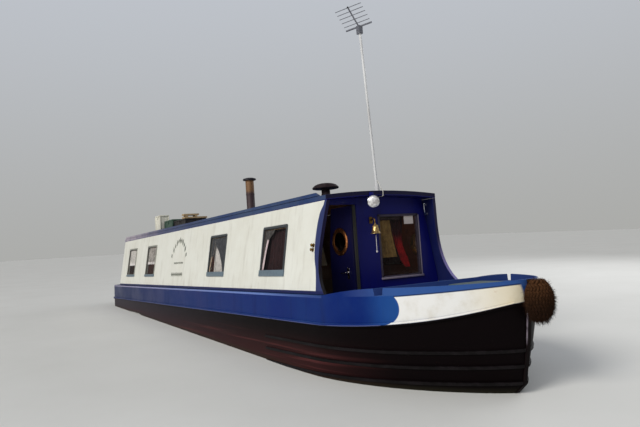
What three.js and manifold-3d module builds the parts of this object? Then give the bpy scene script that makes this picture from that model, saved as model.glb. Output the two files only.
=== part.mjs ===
// A steel canal narrowboat of about 12 m: welded hull, long cabin with windows, well deck at the bow and
// a small rear deck over the propeller and rudder.
// Millimetres. While it is drawn, X runs forward with 0 at the front edge of the cabin roof, Y to port and
// Z up from the underside of the baseplate. The whole boat is then shifted so that X = 0 is at mid-length.
import * as THREE from "three";
import { mergeVertices } from "three/addons/utils/BufferGeometryUtils.js";
import Module from "manifold-3d";

const wasm = await Module();
wasm.setup();

// Driving dimensions of the hull
const GAP = 0.3;
const BASE_THICKNESS = 12;
const HULL_BOTTOM_Z = BASE_THICKNESS + GAP;
const HALF_BEAM = 1018;
const GUNWALE_Z = 1160;
const STRAKE_Z = 868;
const STEM_X = 1930;
const STEM_HALF_WIDTH = 22;
const STEM_POST_DEPTH = 16;
const BOW_JOINT_X = -1200;
const STERN_JOINT_X = -7000;
const COUNTER_START_X = -9400;
const COUNTER_END_X = -10000;
const COUNTER_BOTTOM_Z = 620;
const SWIM_END_X = -9150;
const HOLD_HALF_WIDTH = 900;
const FLOOR_Z = 190;

// Driving dimensions of the cabin
const CABIN_REAR_X = -9100;
const BULKHEAD_X = -200;
const BULKHEAD_THICKNESS = 40;
const SIDE_THICKNESS = 40;
const SIDE_BASE_HALF = 940;
const SIDE_BASE_Z = 1200;
const SIDE_SLOPE = Math.atan(0.1765);
const SIDE_FOOT_Z = GUNWALE_Z + SIDE_THICKNESS * Math.sin(SIDE_SLOPE) + 2 * GAP;
const ROOF_HALF_WIDTH = 774;
const ROOF_EDGE_Z = 2220;
const ROOF_THICKNESS = 55;
const ROOF_CAMBER = 40;
const ROOF_REAR_X = -9130;
const RAIL_HEIGHT = 46;
const RAIL_WIDTH = 34;

// Driving dimensions of the openings
const WINDOW_LENGTH = 667;
const WINDOW_BOTTOM_Z = 1371;
const WINDOW_TOP_Z = 1969;
const WINDOW_REAR_EDGES = [-8530, -6996, -3390, -1505];
const FRONT_DOORWAY = { starboard: -780, port: -260, bottom: 690, slantFrom: 1640, top: 2125 };
const FRONT_WINDOW = { starboard: 36, port: 640, bottom: 1251, top: 2000 };
const SILL_Z = 660;
const REAR_DOORWAY_HALF = 311;
const HATCH_HALF_WIDTH = 372;
const HATCH_LENGTH = 800;

// Driving dimensions of the stern gear
const RUDDER_X = -9640;
const STOCK_RADIUS = 25;
const SHAFT_Z = 330;
const SHAFT_RADIUS = 20;
const ROUND_SIDES = 20;
const STERN_TUBE = { radius: 48, inside: 60, outside: 40 };
const PROPELLER_X = -9310;
const PROPELLER_RADIUS = 215;

// How far the rope fenders stand out at the two ends
const FENDER_DEPTH = 195;
const STERN_FENDER_DEPTH = 190;

const PAINT = {
  blue: { color: 0x16307e, roughness: 0.35, metalness: 0.1 },
  cream: { color: 0xdcdccb, roughness: 0.4, metalness: 0.0 },
  black: { color: 0x1b1213, roughness: 0.6, metalness: 0.2 },
  floor: { color: 0x8a6a48, roughness: 0.7, metalness: 0.0 },
  steel: { color: 0x6d6a68, roughness: 0.45, metalness: 0.8 },
  brass: { color: 0xb98a35, roughness: 0.3, metalness: 1.0 },
  chrome: { color: 0xd8dadc, roughness: 0.12, metalness: 1.0 },
  alloy: { color: 0x9aa3ad, roughness: 0.4, metalness: 0.8 },
  rope: { color: 0x7a5a36, roughness: 0.95, metalness: 0.0 },
  green: { color: 0x2c4434, roughness: 0.6, metalness: 0.0 },
  engine: { color: 0x4c5a52, roughness: 0.5, metalness: 0.5 },
  white: { color: 0xe4e2d8, roughness: 0.8, metalness: 0.0 },
};

const boat = new THREE.Group();

function add(name, geometry, paint) {
  const mesh = new THREE.Mesh(geometry, new THREE.MeshStandardMaterial(PAINT[paint]));
  mesh.name = name;
  boat.add(mesh);
  return mesh;
}

// A piece drawn on the starboard side and its mirror image on the port side.
function addPair(name, geometry, paint) {
  add(`${name}_starboard`, geometry, paint);
  add(`${name}_port`, geometry, paint).scale.y = -1;
}

// Solids for joining and cutting
function solidOf(geometry) {
  const bare = geometry.index ? geometry.toNonIndexed() : geometry.clone();
  bare.deleteAttribute("normal");
  bare.deleteAttribute("uv");
  const merged = mergeVertices(bare, 1e-3);
  return new wasm.Manifold(
    new wasm.Mesh({
      numProp: 3,
      vertProperties: merged.attributes.position.array,
      triVerts: new Uint32Array(merged.index.array),
    }),
  );
}

function geometryOf(solid) {
  const mesh = solid.getMesh();
  const geometry = new THREE.BufferGeometry();
  geometry.setAttribute("position", new THREE.BufferAttribute(mesh.vertProperties, 3));
  geometry.setIndex(new THREE.BufferAttribute(mesh.triVerts, 1));
  geometry.computeVertexNormals();
  return geometry;
}

function block(x, y, z) {
  const box = new THREE.BoxGeometry(x[1] - x[0], y[1] - y[0], z[1] - z[0]);
  return box.translate((x[0] + x[1]) / 2, (y[0] + y[1]) / 2, (z[0] + z[1]) / 2);
}

function shapeOf(points) {
  return new THREE.Shape(points.map(([a, b]) => new THREE.Vector2(a, b)));
}

function roundedRectangle(a, b, radius) {
  const shape = new THREE.Shape();
  shape.moveTo(a[0] + radius, b[0]);
  shape.lineTo(a[1] - radius, b[0]);
  shape.absarc(a[1] - radius, b[0] + radius, radius, -Math.PI / 2, 0);
  shape.lineTo(a[1], b[1] - radius);
  shape.absarc(a[1] - radius, b[1] - radius, radius, 0, Math.PI / 2);
  shape.lineTo(a[0] + radius, b[1]);
  shape.absarc(a[0] + radius, b[1] - radius, radius, Math.PI / 2, Math.PI);
  shape.lineTo(a[0], b[0] + radius);
  shape.absarc(a[0] + radius, b[0] + radius, radius, Math.PI, 1.5 * Math.PI);
  return shape;
}

function extrude(shape, depth, curveSegments = 6) {
  return new THREE.ExtrudeGeometry(shape, { depth, bevelEnabled: false, curveSegments });
}

// A flat outline in X and Y, raised from one height to another.
function plateZ(shape, z) {
  return extrude(shape, z[1] - z[0]).translate(0, 0, z[0]);
}

// A flat outline in X and Z, run from one Y to another.
function plateY(shape, y) {
  return extrude(shape, y[1] - y[0]).rotateX(Math.PI / 2).translate(0, y[1], 0);
}

// A flat outline in Y and Z, run from one X to another.
function plateX(shape, x) {
  const turn = new THREE.Matrix4().makeBasis(
    new THREE.Vector3(0, 1, 0),
    new THREE.Vector3(0, 0, 1),
    new THREE.Vector3(1, 0, 0),
  );
  return extrude(shape, x[1] - x[0]).applyMatrix4(turn).translate(x[0], 0, 0);
}

// A body turned about an axis: the profile holds [radius, height] pairs from axis to axis.
function turned(profile, sides = 24) {
  const points = profile.map(([r, h]) => new THREE.Vector2(r, h));
  return new THREE.LatheGeometry(points, sides).rotateX(Math.PI / 2);
}

// A round bar between two points.
function bar(from, to, radius, sides = 12) {
  const a = new THREE.Vector3(...from);
  const b = new THREE.Vector3(...to);
  const along = b.clone().sub(a);
  const geometry = new THREE.CylinderGeometry(radius, radius, along.length(), sides);
  const turn = new THREE.Quaternion().setFromUnitVectors(new THREE.Vector3(0, 1, 0), along.normalize());
  return geometry.applyQuaternion(turn).translate((a.x + b.x) / 2, (a.y + b.y) / 2, (a.z + b.z) / 2);
}

function pathThrough(points) {
  return new THREE.CatmullRomCurve3(points.map((p) => new THREE.Vector3(...p)));
}

// A round bar bent along a path.
function bentBar(path, radius, steps, sides = 10) {
  const section = new THREE.Shape();
  section.absarc(0, 0, radius, 0, 2 * Math.PI);
  return new THREE.ExtrudeGeometry(section, { steps, extrudePath: path, curveSegments: sides / 2 });
}

function join(...geometries) {
  return geometryOf(geometries.map(solidOf).reduce((whole, part) => whole.add(part)));
}

function cut(geometry, ...tools) {
  return geometryOf(tools.map(solidOf).reduce((whole, tool) => whole.subtract(tool), solidOf(geometry)));
}

// A body with the same outline on both sides of Y = 0. Each ring lists its corners [x, half width, z] from
// the bottom up, and the rings run forward.
function loft(rings) {
  const levels = rings[0].length;
  const corners = 2 * levels;
  const positions = rings.flatMap((ring) => [
    ...ring.flatMap(([x, half, z]) => [x, -half, z]),
    ...[...ring].reverse().flatMap(([x, half, z]) => [x, half, z]),
  ]);
  const index = [];
  for (let k = 0; k + 1 < rings.length; k += 1) {
    for (let i = 0; i < corners; i += 1) {
      const next = (i + 1) % corners;
      const [a, b] = [k * corners + i, k * corners + next];
      const [d, c] = [a + corners, b + corners];
      index.push(a, d, b, d, c, b);
    }
  }
  const last = (rings.length - 1) * corners;
  for (let j = 0; j + 1 < levels; j += 1) {
    const [s, p] = [j, corners - 1 - j];
    index.push(s, s + 1, p - 1, s, p - 1, p);
    index.push(last + s, last + p - 1, last + s + 1, last + s, last + p, last + p - 1);
  }
  const geometry = new THREE.BufferGeometry();
  geometry.setAttribute("position", new THREE.Float32BufferAttribute(positions, 3));
  geometry.setIndex(index);
  return geometry.toNonIndexed();
}

// Bow plating
// Levels from the keel up. Columns: half width amidships, height amidships, rise at the stem, share of the
// rise that comes late, where the level starts to turn in, where it meets the stem, fullness of its curve.
const BOW_LEVELS = [
  { half: 1015, z: HULL_BOTTOM_Z, rise: 0, late: 0, turn: -700, stem: 1420, fullness: 1.1 },
  { half: 1017, z: 300, rise: 40, late: 0, turn: -400, stem: 1785, fullness: 1.15 },
  { half: 1018, z: 600, rise: 120, late: 0.4, turn: -100, stem: 1866, fullness: 1.3 },
  { half: HALF_BEAM, z: STRAKE_Z, rise: 200, late: 0.7, turn: 120, stem: 1912, fullness: 1.42 },
  { half: 1010, z: GUNWALE_Z, rise: 46, late: 0.5, turn: 200, stem: STEM_X, fullness: 1.45 },
];
const KEEL_LEVEL = BOW_LEVELS[0];
const WELL_FLOOR_LEVEL = BOW_LEVELS[2];
const STRAKE_LEVEL = BOW_LEVELS[3];
const DECK_LEVEL = BOW_LEVELS[4];
const WELL_FLOOR_Z = 640;
const WELL_FRONT_X = 900;
const BULWARK_START_X = 115;
const BULWARK_RISE = 66;
const BULWARK_THICKNESS = 52;
const RECESS_TOP_Z = GUNWALE_Z + 200;

// The plating rises above the foredeck as a low edge, from behind the well deck to the stem.
const DECK_EDGE = { start: 992, rise: 68, riseAtStem: 50, inset: 24, foot: 985, end: 1880, sunk: 2 };

function shareToStem(level, x) {
  return Math.min(1, Math.max(0, (x - level.turn) / (level.stem - level.turn)));
}

function halfWidth(level, x) {
  const share = shareToStem(level, x);
  return STEM_HALF_WIDTH + (level.half - STEM_HALF_WIDTH) * (1 - share ** 2) ** (1 / level.fullness);
}

function levelHeight(level, x) {
  const share = shareToStem(level, x);
  return level.z + level.rise * ((1 - level.late) * share + level.late * share ** 4);
}

function bulwarkHeight(x) {
  if (x > DECK_EDGE.start) {
    const share = (x - DECK_EDGE.start) / (STEM_X - DECK_EDGE.start);
    return DECK_EDGE.rise + (DECK_EDGE.riseAtStem - DECK_EDGE.rise) * share;
  }
  if (x < BULWARK_START_X || x > WELL_FRONT_X) return 0;
  return BULWARK_RISE * Math.sin((Math.PI / 2) * ((x - BULWARK_START_X) / (WELL_FRONT_X - BULWARK_START_X)));
}

const BOW_STATIONS = [
  -1200, -700, -300, 0, BULWARK_START_X, 300, 480, 650, 780, WELL_FRONT_X, WELL_FRONT_X + 8,
  DECK_EDGE.start, DECK_EDGE.start + 8, 1100, 1200, 1320, 1450, 1560, 1660, 1740, 1805, 1855, 1890, 1915,
  STEM_X,
];

function bowRing(station) {
  const share = (station - BOW_JOINT_X) / (STEM_X - BOW_JOINT_X);
  return BOW_LEVELS.map((level) => {
    const x = BOW_JOINT_X + share * (level.stem - BOW_JOINT_X);
    const extra = level === DECK_LEVEL ? bulwarkHeight(station) : 0;
    return [x, halfWidth(level, x), levelHeight(level, x) + extra];
  });
}

const bowOutside = loft(BOW_STATIONS.map((station) => bowRing(station)));

// The well deck behind the bulwarks is a recess, narrower where the cabin side stands on the gunwale.
const CABIN_FOOT_END_X = 140;
const WELL_STATIONS = [BULKHEAD_X - 5, CABIN_FOOT_END_X, 300, 480, 650, 780, WELL_FRONT_X - 40];
const wellRecess = loft(
  WELL_STATIONS.map((x) => {
    const inset = x <= CABIN_FOOT_END_X ? HALF_BEAM - HOLD_HALF_WIDTH : BULWARK_THICKNESS;
    return [
      [x, halfWidth(WELL_FLOOR_LEVEL, x) - inset, WELL_FLOOR_Z],
      [x, halfWidth(DECK_LEVEL, x) - inset, GUNWALE_Z],
      [x, halfWidth(DECK_LEVEL, x) - inset, RECESS_TOP_Z],
    ];
  }),
);
const FORWARD_HOLD_FRONT_X = BULKHEAD_X - 50;
const holdWidth = [-HOLD_HALF_WIDTH, HOLD_HALF_WIDTH];
const forwardHold = block([BOW_JOINT_X - 50, FORWARD_HOLD_FRONT_X], holdWidth, [0, RECESS_TOP_Z]);
const bulkheadSeat = block([FORWARD_HOLD_FRONT_X - 10, BULKHEAD_X], holdWidth, [SILL_Z, RECESS_TOP_Z]);

// The foredeck lies between the raised edges.
const foredeckHeight = (x) => levelHeight(DECK_LEVEL, x) - DECK_EDGE.sunk;
const FOREDECK_STATIONS = [
  DECK_EDGE.foot, 1100, 1200, 1320, 1450, 1560, 1660, 1740, 1805, 1855, DECK_EDGE.end,
];
const foredeckRecess = loft(
  FOREDECK_STATIONS.map((x) => {
    const half = halfWidth(DECK_LEVEL, x) - DECK_EDGE.inset;
    return [
      [x, half, foredeckHeight(x)],
      [x, half, RECESS_TOP_Z],
    ];
  }),
);

// Gas locker under the foredeck: a pocket with a coaming round its mouth, a little smaller than its lid.
const LOCKER = { rear: 1170, front: 1480, half: 210, bottom: 720, coaming: 26, lid: 20 };
const FOREDECK_Z = foredeckHeight(LOCKER.rear);

function insideLid(margin, z) {
  const x = [LOCKER.rear + margin, LOCKER.front - margin];
  return block(x, [margin - LOCKER.half, LOCKER.half - margin], z);
}
const lockerPocket = insideLid(30, [LOCKER.bottom, RECESS_TOP_Z]);
const lockerCoaming = insideLid(6, [FOREDECK_Z - 30, FOREDECK_Z + LOCKER.coaming]);
const bowAndDeck = join(cut(bowOutside, foredeckRecess), lockerCoaming);
add("bow_hull", cut(bowAndDeck, wellRecess, forwardHold, bulkheadSeat, lockerPocket), "black");

// Hull sides between bow and stern
const sidePlateOutline = shapeOf([
  [-HOLD_HALF_WIDTH, HULL_BOTTOM_Z],
  [-HOLD_HALF_WIDTH, GUNWALE_Z],
  [-DECK_LEVEL.half, GUNWALE_Z],
  [-HALF_BEAM, STRAKE_Z],
  [-KEEL_LEVEL.half, HULL_BOTTOM_Z],
]);
addPair("side_plate", plateX(sidePlateOutline, [STERN_JOINT_X + GAP, BOW_JOINT_X - GAP]), "black");

// Stern: the counter above the water and the swim that narrows to the propeller
const COUNTER_END_HALF = 60;
const COUNTER_FOOT_HALF = 1017;
const SWIM_END_HALF = 28;

function counterHalf(x, half) {
  if (x > COUNTER_START_X) return half;
  const share = (COUNTER_START_X - x) / (COUNTER_START_X - COUNTER_END_X);
  return Math.max(COUNTER_END_HALF, half * Math.sqrt(1 - Math.min(1, share) ** 2));
}

const COUNTER_STATIONS = [
  COUNTER_END_X, -9992, -9970, -9930, -9870, -9790, -9690, -9560, COUNTER_START_X, STERN_JOINT_X,
];
const counter = loft(
  COUNTER_STATIONS.map((x) => [
    [x, counterHalf(x, COUNTER_FOOT_HALF), COUNTER_BOTTOM_Z],
    [x, counterHalf(x, HALF_BEAM), STRAKE_Z],
    [x, counterHalf(x, DECK_LEVEL.half), GUNWALE_Z],
  ]),
);

function swimHalf(x) {
  const share = (STERN_JOINT_X - x) / (STERN_JOINT_X - SWIM_END_X);
  return SWIM_END_HALF + (KEEL_LEVEL.half - SWIM_END_HALF) * (1 - share ** 1.8);
}

const SWIM_STATIONS = [-7000, -7350, -7700, -8000, -8300, -8550, -8800, -9000, SWIM_END_X];
const swimPort = SWIM_STATIONS.map((x) => [x, swimHalf(x)]);
const swimStarboard = [...SWIM_STATIONS].reverse().map((x) => [x, -swimHalf(x)]);
const swim = plateZ(shapeOf([...swimPort, ...swimStarboard]), [HULL_BOTTOM_Z, COUNTER_BOTTOM_Z + 40]);
const sternTube = bar(
  [SWIM_END_X + STERN_TUBE.inside, 0, SHAFT_Z],
  [SWIM_END_X - STERN_TUBE.outside, 0, SHAFT_Z],
  STERN_TUBE.radius,
  ROUND_SIDES,
);
const rearHold = block(
  [CABIN_REAR_X + 60, STERN_JOINT_X + 50],
  holdWidth,
  [COUNTER_BOTTOM_Z + 20, RECESS_TOP_Z],
);
const ENGINE = { rear: -8280, front: -7480, half: 250, bottom: 120, top: 790 };
const ENGINE_BAY = { rear: ENGINE.rear - 80, half: 420 };
const engineBay = block(
  [ENGINE_BAY.rear, STERN_JOINT_X + 50],
  [-ENGINE_BAY.half, ENGINE_BAY.half],
  [ENGINE.bottom, COUNTER_BOTTOM_Z + 40],
);

// A hole whose flats clear a round bar of the given radius by the gap.
function bearing(from, to, radius) {
  return bar(from, to, (radius + GAP) / Math.cos(Math.PI / ROUND_SIDES), ROUND_SIDES);
}
const shaftBore = bearing([SWIM_END_X + 160, 0, SHAFT_Z], [SWIM_END_X - 60, 0, SHAFT_Z], SHAFT_RADIUS);
const stockBore = bearing(
  [RUDDER_X, 0, COUNTER_BOTTOM_Z - 120],
  [RUDDER_X, 0, GUNWALE_Z + 140],
  STOCK_RADIUS,
);
add(
  "stern_hull",
  cut(join(counter, swim, sternTube), rearHold, engineBay, shaftBore, stockBore),
  "black",
);

add(
  "engine",
  block([ENGINE.rear, ENGINE.front], [-ENGINE.half, ENGINE.half], [ENGINE.bottom + GAP, ENGINE.top]),
  "engine",
);

// The baseplate is one flat plate under the hull, with the rudder's bearing bar at its rear end.
const BEARING_BAR = { half: 40, end: RUDDER_X - 60 };
const keelStations = [-700, -300, 100, 450, 750, 1000, 1180, 1310, 1390, 1420];
const keelHalf = keelStations.map((x) => [x, halfWidth(KEEL_LEVEL, x)]);
const portEdge = [[BEARING_BAR.end, BEARING_BAR.half], ...[...swimPort].reverse(), ...keelHalf];
const starboardEdge = [...portEdge].reverse().map(([x, y]) => [x, -y]);
add("baseplate", plateZ(shapeOf([...portEdge, ...starboardEdge]), [0, BASE_THICKNESS]), "black");

// The stem post is a bar up the front of the bow.
const stemLine = BOW_LEVELS.map((level) => [level.stem, levelHeight(level, level.stem)]);
const stemTop = levelHeight(DECK_LEVEL, STEM_X) + DECK_EDGE.riseAtStem;
const stemOutline = [
  ...stemLine.map(([x, z]) => [x + GAP, z]),
  [STEM_X + GAP, stemTop],
  [STEM_X + STEM_POST_DEPTH, stemTop],
  ...[...stemLine].reverse().map(([x, z]) => [x + STEM_POST_DEPTH, z]),
];
add(
  "stem_post",
  plateY(shapeOf(stemOutline), [-STEM_HALF_WIDTH, STEM_HALF_WIDTH]),
  "black",
);

// Rubbing strake: a flat bar welded along the hull side where the blue band ends
const STRAKE_WIDTH = 36;
const STRAKE_DEPTH = 20;
const alongStrake = (station) => bowRing(station)[BOW_LEVELS.indexOf(STRAKE_LEVEL)];
const strakeLine = [
  ...COUNTER_STATIONS.slice(3, -1).map((x) => [x, counterHalf(x, HALF_BEAM), STRAKE_Z]),
  ...BOW_STATIONS.slice(0, -2).map(alongStrake),
];

// The bar stands off a little more where the bow flares out above it.
function standOff(x) {
  return GAP + 0.08 * Math.max(0, halfWidth(DECK_LEVEL, x) - halfWidth(STRAKE_LEVEL, x));
}

function strake() {
  const line = strakeLine.map(([x, half, z]) => new THREE.Vector3(x, -half, z));
  const positions = [];
  line.forEach((point, i) => {
    const before = line[Math.max(0, i - 1)];
    const after = line[Math.min(line.length - 1, i + 1)];
    const along = after.clone().sub(before).setZ(0).normalize();
    const out = new THREE.Vector3(along.y, -along.x, 0);
    const inner = point.clone().addScaledVector(out, standOff(point.x));
    const outer = point.clone().addScaledVector(out, STRAKE_DEPTH);
    const [low, high] = [-STRAKE_WIDTH / 2, STRAKE_WIDTH / 2];
    for (const [p, dz] of [[inner, low], [inner, high], [outer, high], [outer, low]])
      positions.push(p.x, p.y, p.z + dz);
  });
  const index = [];
  for (let k = 0; k + 1 < line.length; k += 1)
    for (let i = 0; i < 4; i += 1) {
      const [a, b] = [4 * k + i, 4 * k + ((i + 1) % 4)];
      index.push(a, b, a + 4, b, b + 4, a + 4);
    }
  const last = 4 * (line.length - 1);
  index.push(0, 2, 1, 0, 3, 2, last, last + 1, last + 2, last, last + 2, last + 3);
  const geometry = new THREE.BufferGeometry();
  geometry.setAttribute("position", new THREE.Float32BufferAttribute(positions, 3));
  geometry.setIndex(index);
  return geometry.toNonIndexed();
}
addPair("rubbing_strake", strake(), "black");

// Lid of the locker in the foredeck, hinged at its rear edge
const LID_BOTTOM_Z = FOREDECK_Z + LOCKER.coaming + GAP;
const lidPlate = block(
  [LOCKER.rear, LOCKER.front],
  [-LOCKER.half, LOCKER.half],
  [LID_BOTTOM_Z, LID_BOTTOM_Z + LOCKER.lid],
);
const LID_HINGE = { x: LOCKER.rear - 6, z: LID_BOTTOM_Z + 12, half: 150, radius: 8 };
const lidKnuckle = bar(
  [LID_HINGE.x, -LID_HINGE.half, LID_HINGE.z],
  [LID_HINGE.x, LID_HINGE.half, LID_HINGE.z],
  LID_HINGE.radius,
);
add("locker_lid", join(lidPlate, lidKnuckle), "blue");

// Cabin floor, with the bearers and ballast under it
add(
  "cabin_floor",
  block(
    [STERN_JOINT_X + GAP, BULKHEAD_X - 50 - GAP],
    [GAP - HOLD_HALF_WIDTH, HOLD_HALF_WIDTH - GAP],
    [HULL_BOTTOM_Z, FLOOR_Z],
  ),
  "floor",
);
const STEPS = { x: [-790, -251], y: [-780, -240], top: SILL_Z - 5 };
add("front_steps", block(STEPS.x, STEPS.y, [FLOOR_Z + GAP, STEPS.top]), "floor");

// Cabin sides lean in towards the roof. They are drawn flat, with X forward and the slope upwards, and the
// outer face at height 0, then stood up.
const slopeCos = Math.cos(SIDE_SLOPE);
const slopeSin = Math.sin(SIDE_SLOPE);

function sideHalf(z) {
  return SIDE_BASE_HALF - (z - SIDE_BASE_Z) * Math.tan(SIDE_SLOPE);
}

function slopeLength(z) {
  return (z - SIDE_FOOT_Z) / slopeCos;
}

const standUp = new THREE.Matrix4()
  .makeBasis(
    new THREE.Vector3(1, 0, 0),
    new THREE.Vector3(0, slopeSin, slopeCos),
    new THREE.Vector3(0, -slopeCos, slopeSin),
  )
  .setPosition(0, -sideHalf(SIDE_FOOT_Z), SIDE_FOOT_Z);

// An outline on the cabin side, run through from one depth to another; depth 0 is the outer face and
// negative depths are inside it.
function onSide(shape, depth, curveSegments) {
  const flat = extrude(shape, depth[1] - depth[0], curveSegments);
  return flat.translate(0, 0, depth[0]).applyMatrix4(standUp);
}

// The front edge of each side is a curve, from a foot ahead of the roof to the roof's front edge.
const SIDE_TOP = slopeLength(ROOF_EDGE_Z - ROOF_THICKNESS - 2 * GAP);
const WING = { foot: 100, pull: [-190, 0.26 * SIDE_TOP, -40, 0.7 * SIDE_TOP] };
const sideOutline = new THREE.Shape();
sideOutline.moveTo(CABIN_REAR_X, 0);
sideOutline.lineTo(WING.foot, 0);
sideOutline.bezierCurveTo(...WING.pull, 0, SIDE_TOP);
sideOutline.lineTo(CABIN_REAR_X, SIDE_TOP);

const WINDOW_FLANGE = 20;
const WINDOW_CORNER = 28;
const windowBottom = slopeLength(WINDOW_BOTTOM_Z);
const windowTop = slopeLength(WINDOW_TOP_Z);

function windowShape(rearEdge, inset) {
  return roundedRectangle(
    [rearEdge + inset, rearEdge + WINDOW_LENGTH - inset],
    [windowBottom + inset, windowTop - inset],
    WINDOW_CORNER - inset / 2,
  );
}

const through = [-SIDE_THICKNESS - 10, 10];
const windowHoles = WINDOW_REAR_EDGES.map((edge) => onSide(windowShape(edge, WINDOW_FLANGE), through, 2));
const PORTHOLE = { x: -440, slope: slopeLength(1620), hole: 128, flange: 158 };

function disc(radius) {
  const shape = new THREE.Shape();
  shape.absarc(PORTHOLE.x, PORTHOLE.slope, radius, 0, 2 * Math.PI);
  return shape;
}

const cabinSide = onSide(sideOutline, [-SIDE_THICKNESS, 0], 12);
const portholeHole = onSide(disc(PORTHOLE.hole), through, 12);
add("cabin_side_starboard", cut(cabinSide, ...windowHoles), "cream");
add("cabin_side_port", cut(cabinSide, ...windowHoles, portholeHole), "cream").scale.y = -1;

// A framed pane: a flange over the edge of the hole outside, a sleeve through the wall, glass half way in.
const PANE = { proud: 8, face: -6, back: -14 };

function pane(flange, sleeve, sight, depth, curveSegments) {
  const plate = onSide(flange, [GAP, PANE.proud], curveSegments);
  const body = join(plate, onSide(sleeve, [-depth, PANE.proud], curveSegments));
  const outside = onSide(sight, [PANE.face, PANE.proud + 12], curveSegments);
  return cut(body, outside, onSide(sight, [-depth - 10, PANE.back], curveSegments));
}

WINDOW_REAR_EDGES.forEach((edge, i) => {
  const sleeve = windowShape(edge, WINDOW_FLANGE + GAP);
  const sight = windowShape(edge, WINDOW_FLANGE + 14);
  const glazed = pane(windowShape(edge, 0), sleeve, sight, SIDE_THICKNESS - 4, 2);
  addPair(`window_${i + 1}`, glazed, "alloy");
});
add(
  "porthole_port",
  pane(disc(PORTHOLE.flange), disc(PORTHOLE.hole - GAP), disc(PORTHOLE.hole - 16), SIDE_THICKNESS - 4, 12),
  "brass",
).scale.y = -1;

// Roof with its camber, the hatch opening at the rear and the runners for the hatch
function camberZ(y) {
  return ROOF_CAMBER * (1 - (y / ROOF_HALF_WIDTH) ** 2);
}

const acrossRoof = [-1, -0.8, -0.6, -0.4, -0.2, 0, 0.2, 0.4, 0.6, 0.8, 1].map((s) => s * ROOF_HALF_WIDTH);
const roofTop = acrossRoof.map((y) => [y, ROOF_EDGE_Z + camberZ(y)]);
const roofUnder = [...acrossRoof].reverse().map((y) => [y, ROOF_EDGE_Z - ROOF_THICKNESS + camberZ(y)]);
const roofPlate = plateX(shapeOf([...roofUnder, ...roofTop]), [ROOF_REAR_X, 0]);
const HATCH_OPENING = { half: 320, front: ROOF_REAR_X + 760 };
const hatchOpening = block(
  [ROOF_REAR_X - 50, HATCH_OPENING.front],
  [-HATCH_OPENING.half, HATCH_OPENING.half],
  [2000, 2400],
);
const RUNNER = { top: 2282, inside: 328, outside: 358, front: ROOF_REAR_X + 1560 };
const runners = [-1, 1].map((side) => {
  const y = [side * RUNNER.inside, side * RUNNER.outside].sort((a, b) => a - b);
  return block([ROOF_REAR_X, RUNNER.front], y, [2230, RUNNER.top]);
});
add("roof", cut(join(roofPlate, ...runners), hatchOpening), "blue");

const RAIL_REAR_X = ROOF_REAR_X + 60;
const RAIL_FRONT_X = -150;
const railInner = ROOF_HALF_WIDTH - RAIL_WIDTH;
const railBottom = ROOF_EDGE_Z + camberZ(railInner) + GAP;
const railTop = ROOF_EDGE_Z + RAIL_HEIGHT;
const railOutline = shapeOf([
  [RAIL_REAR_X, railBottom],
  [RAIL_FRONT_X, railBottom],
  [RAIL_FRONT_X - 90, railTop],
  [RAIL_REAR_X + 60, railTop],
]);
addPair("handrail", plateY(railOutline, [-ROOF_HALF_WIDTH, -railInner]), "blue");

// Sliding hatch over the rear doorway
const HATCH_PLATE = { thickness: 22, camber: 14, lip: RUNNER.top - 14 };
const hatchTop = [-1, -0.5, 0, 0.5, 1].map((s) => [
  s * HATCH_HALF_WIDTH,
  RUNNER.top + HATCH_PLATE.thickness + HATCH_PLATE.camber * (1 - s ** 2),
]);
const hatchUnder = [
  [HATCH_HALF_WIDTH, HATCH_PLATE.lip],
  [RUNNER.outside + GAP, HATCH_PLATE.lip],
  [RUNNER.outside + GAP, RUNNER.top + GAP],
  [-RUNNER.outside - GAP, RUNNER.top + GAP],
  [-RUNNER.outside - GAP, HATCH_PLATE.lip],
  [-HATCH_HALF_WIDTH, HATCH_PLATE.lip],
];
const hatchPlate = plateX(shapeOf([...hatchUnder, ...hatchTop]), [ROOF_REAR_X, ROOF_REAR_X + HATCH_LENGTH]);
const HATCH_END = { half: 300, thickness: 16, bottom: 2158 };
const hatchEnd = block(
  [ROOF_REAR_X, ROOF_REAR_X + HATCH_END.thickness],
  [-HATCH_END.half, HATCH_END.half],
  [HATCH_END.bottom, RUNNER.top + 10],
);
add("sliding_hatch", join(hatchPlate, hatchEnd), "blue");

// Front bulkhead under the roof, with the doorway to starboard and a window to port of it
const aboveRoofUnderside = plateX(
  shapeOf([
    [ROOF_HALF_WIDTH, ROOF_EDGE_Z + 200],
    [-ROOF_HALF_WIDTH, ROOF_EDGE_Z + 200],
    ...[...roofUnder].reverse().map(([y, z]) => [y, z - GAP]),
  ]),
  [ROOF_REAR_X, 0],
);

function bulkheadOutline(bottom) {
  const top = ROOF_EDGE_Z;
  const inner = (z) => sideHalf(z) - SIDE_THICKNESS / slopeCos - 1;
  const foot = bottom < GUNWALE_Z ? HOLD_HALF_WIDTH - GAP : inner(bottom);
  const half = [
    [foot, bottom],
    ...(bottom < GUNWALE_Z ? [[foot, GUNWALE_Z]] : []),
    [inner(top), top],
  ];
  return shapeOf([...half, ...[...half].reverse().map(([y, z]) => [-y, z])]);
}

const bulkheadRear = BULKHEAD_X - BULKHEAD_THICKNESS;
const frontBoard = plateX(bulkheadOutline(SILL_Z + GAP), [bulkheadRear, BULKHEAD_X]);

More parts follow.
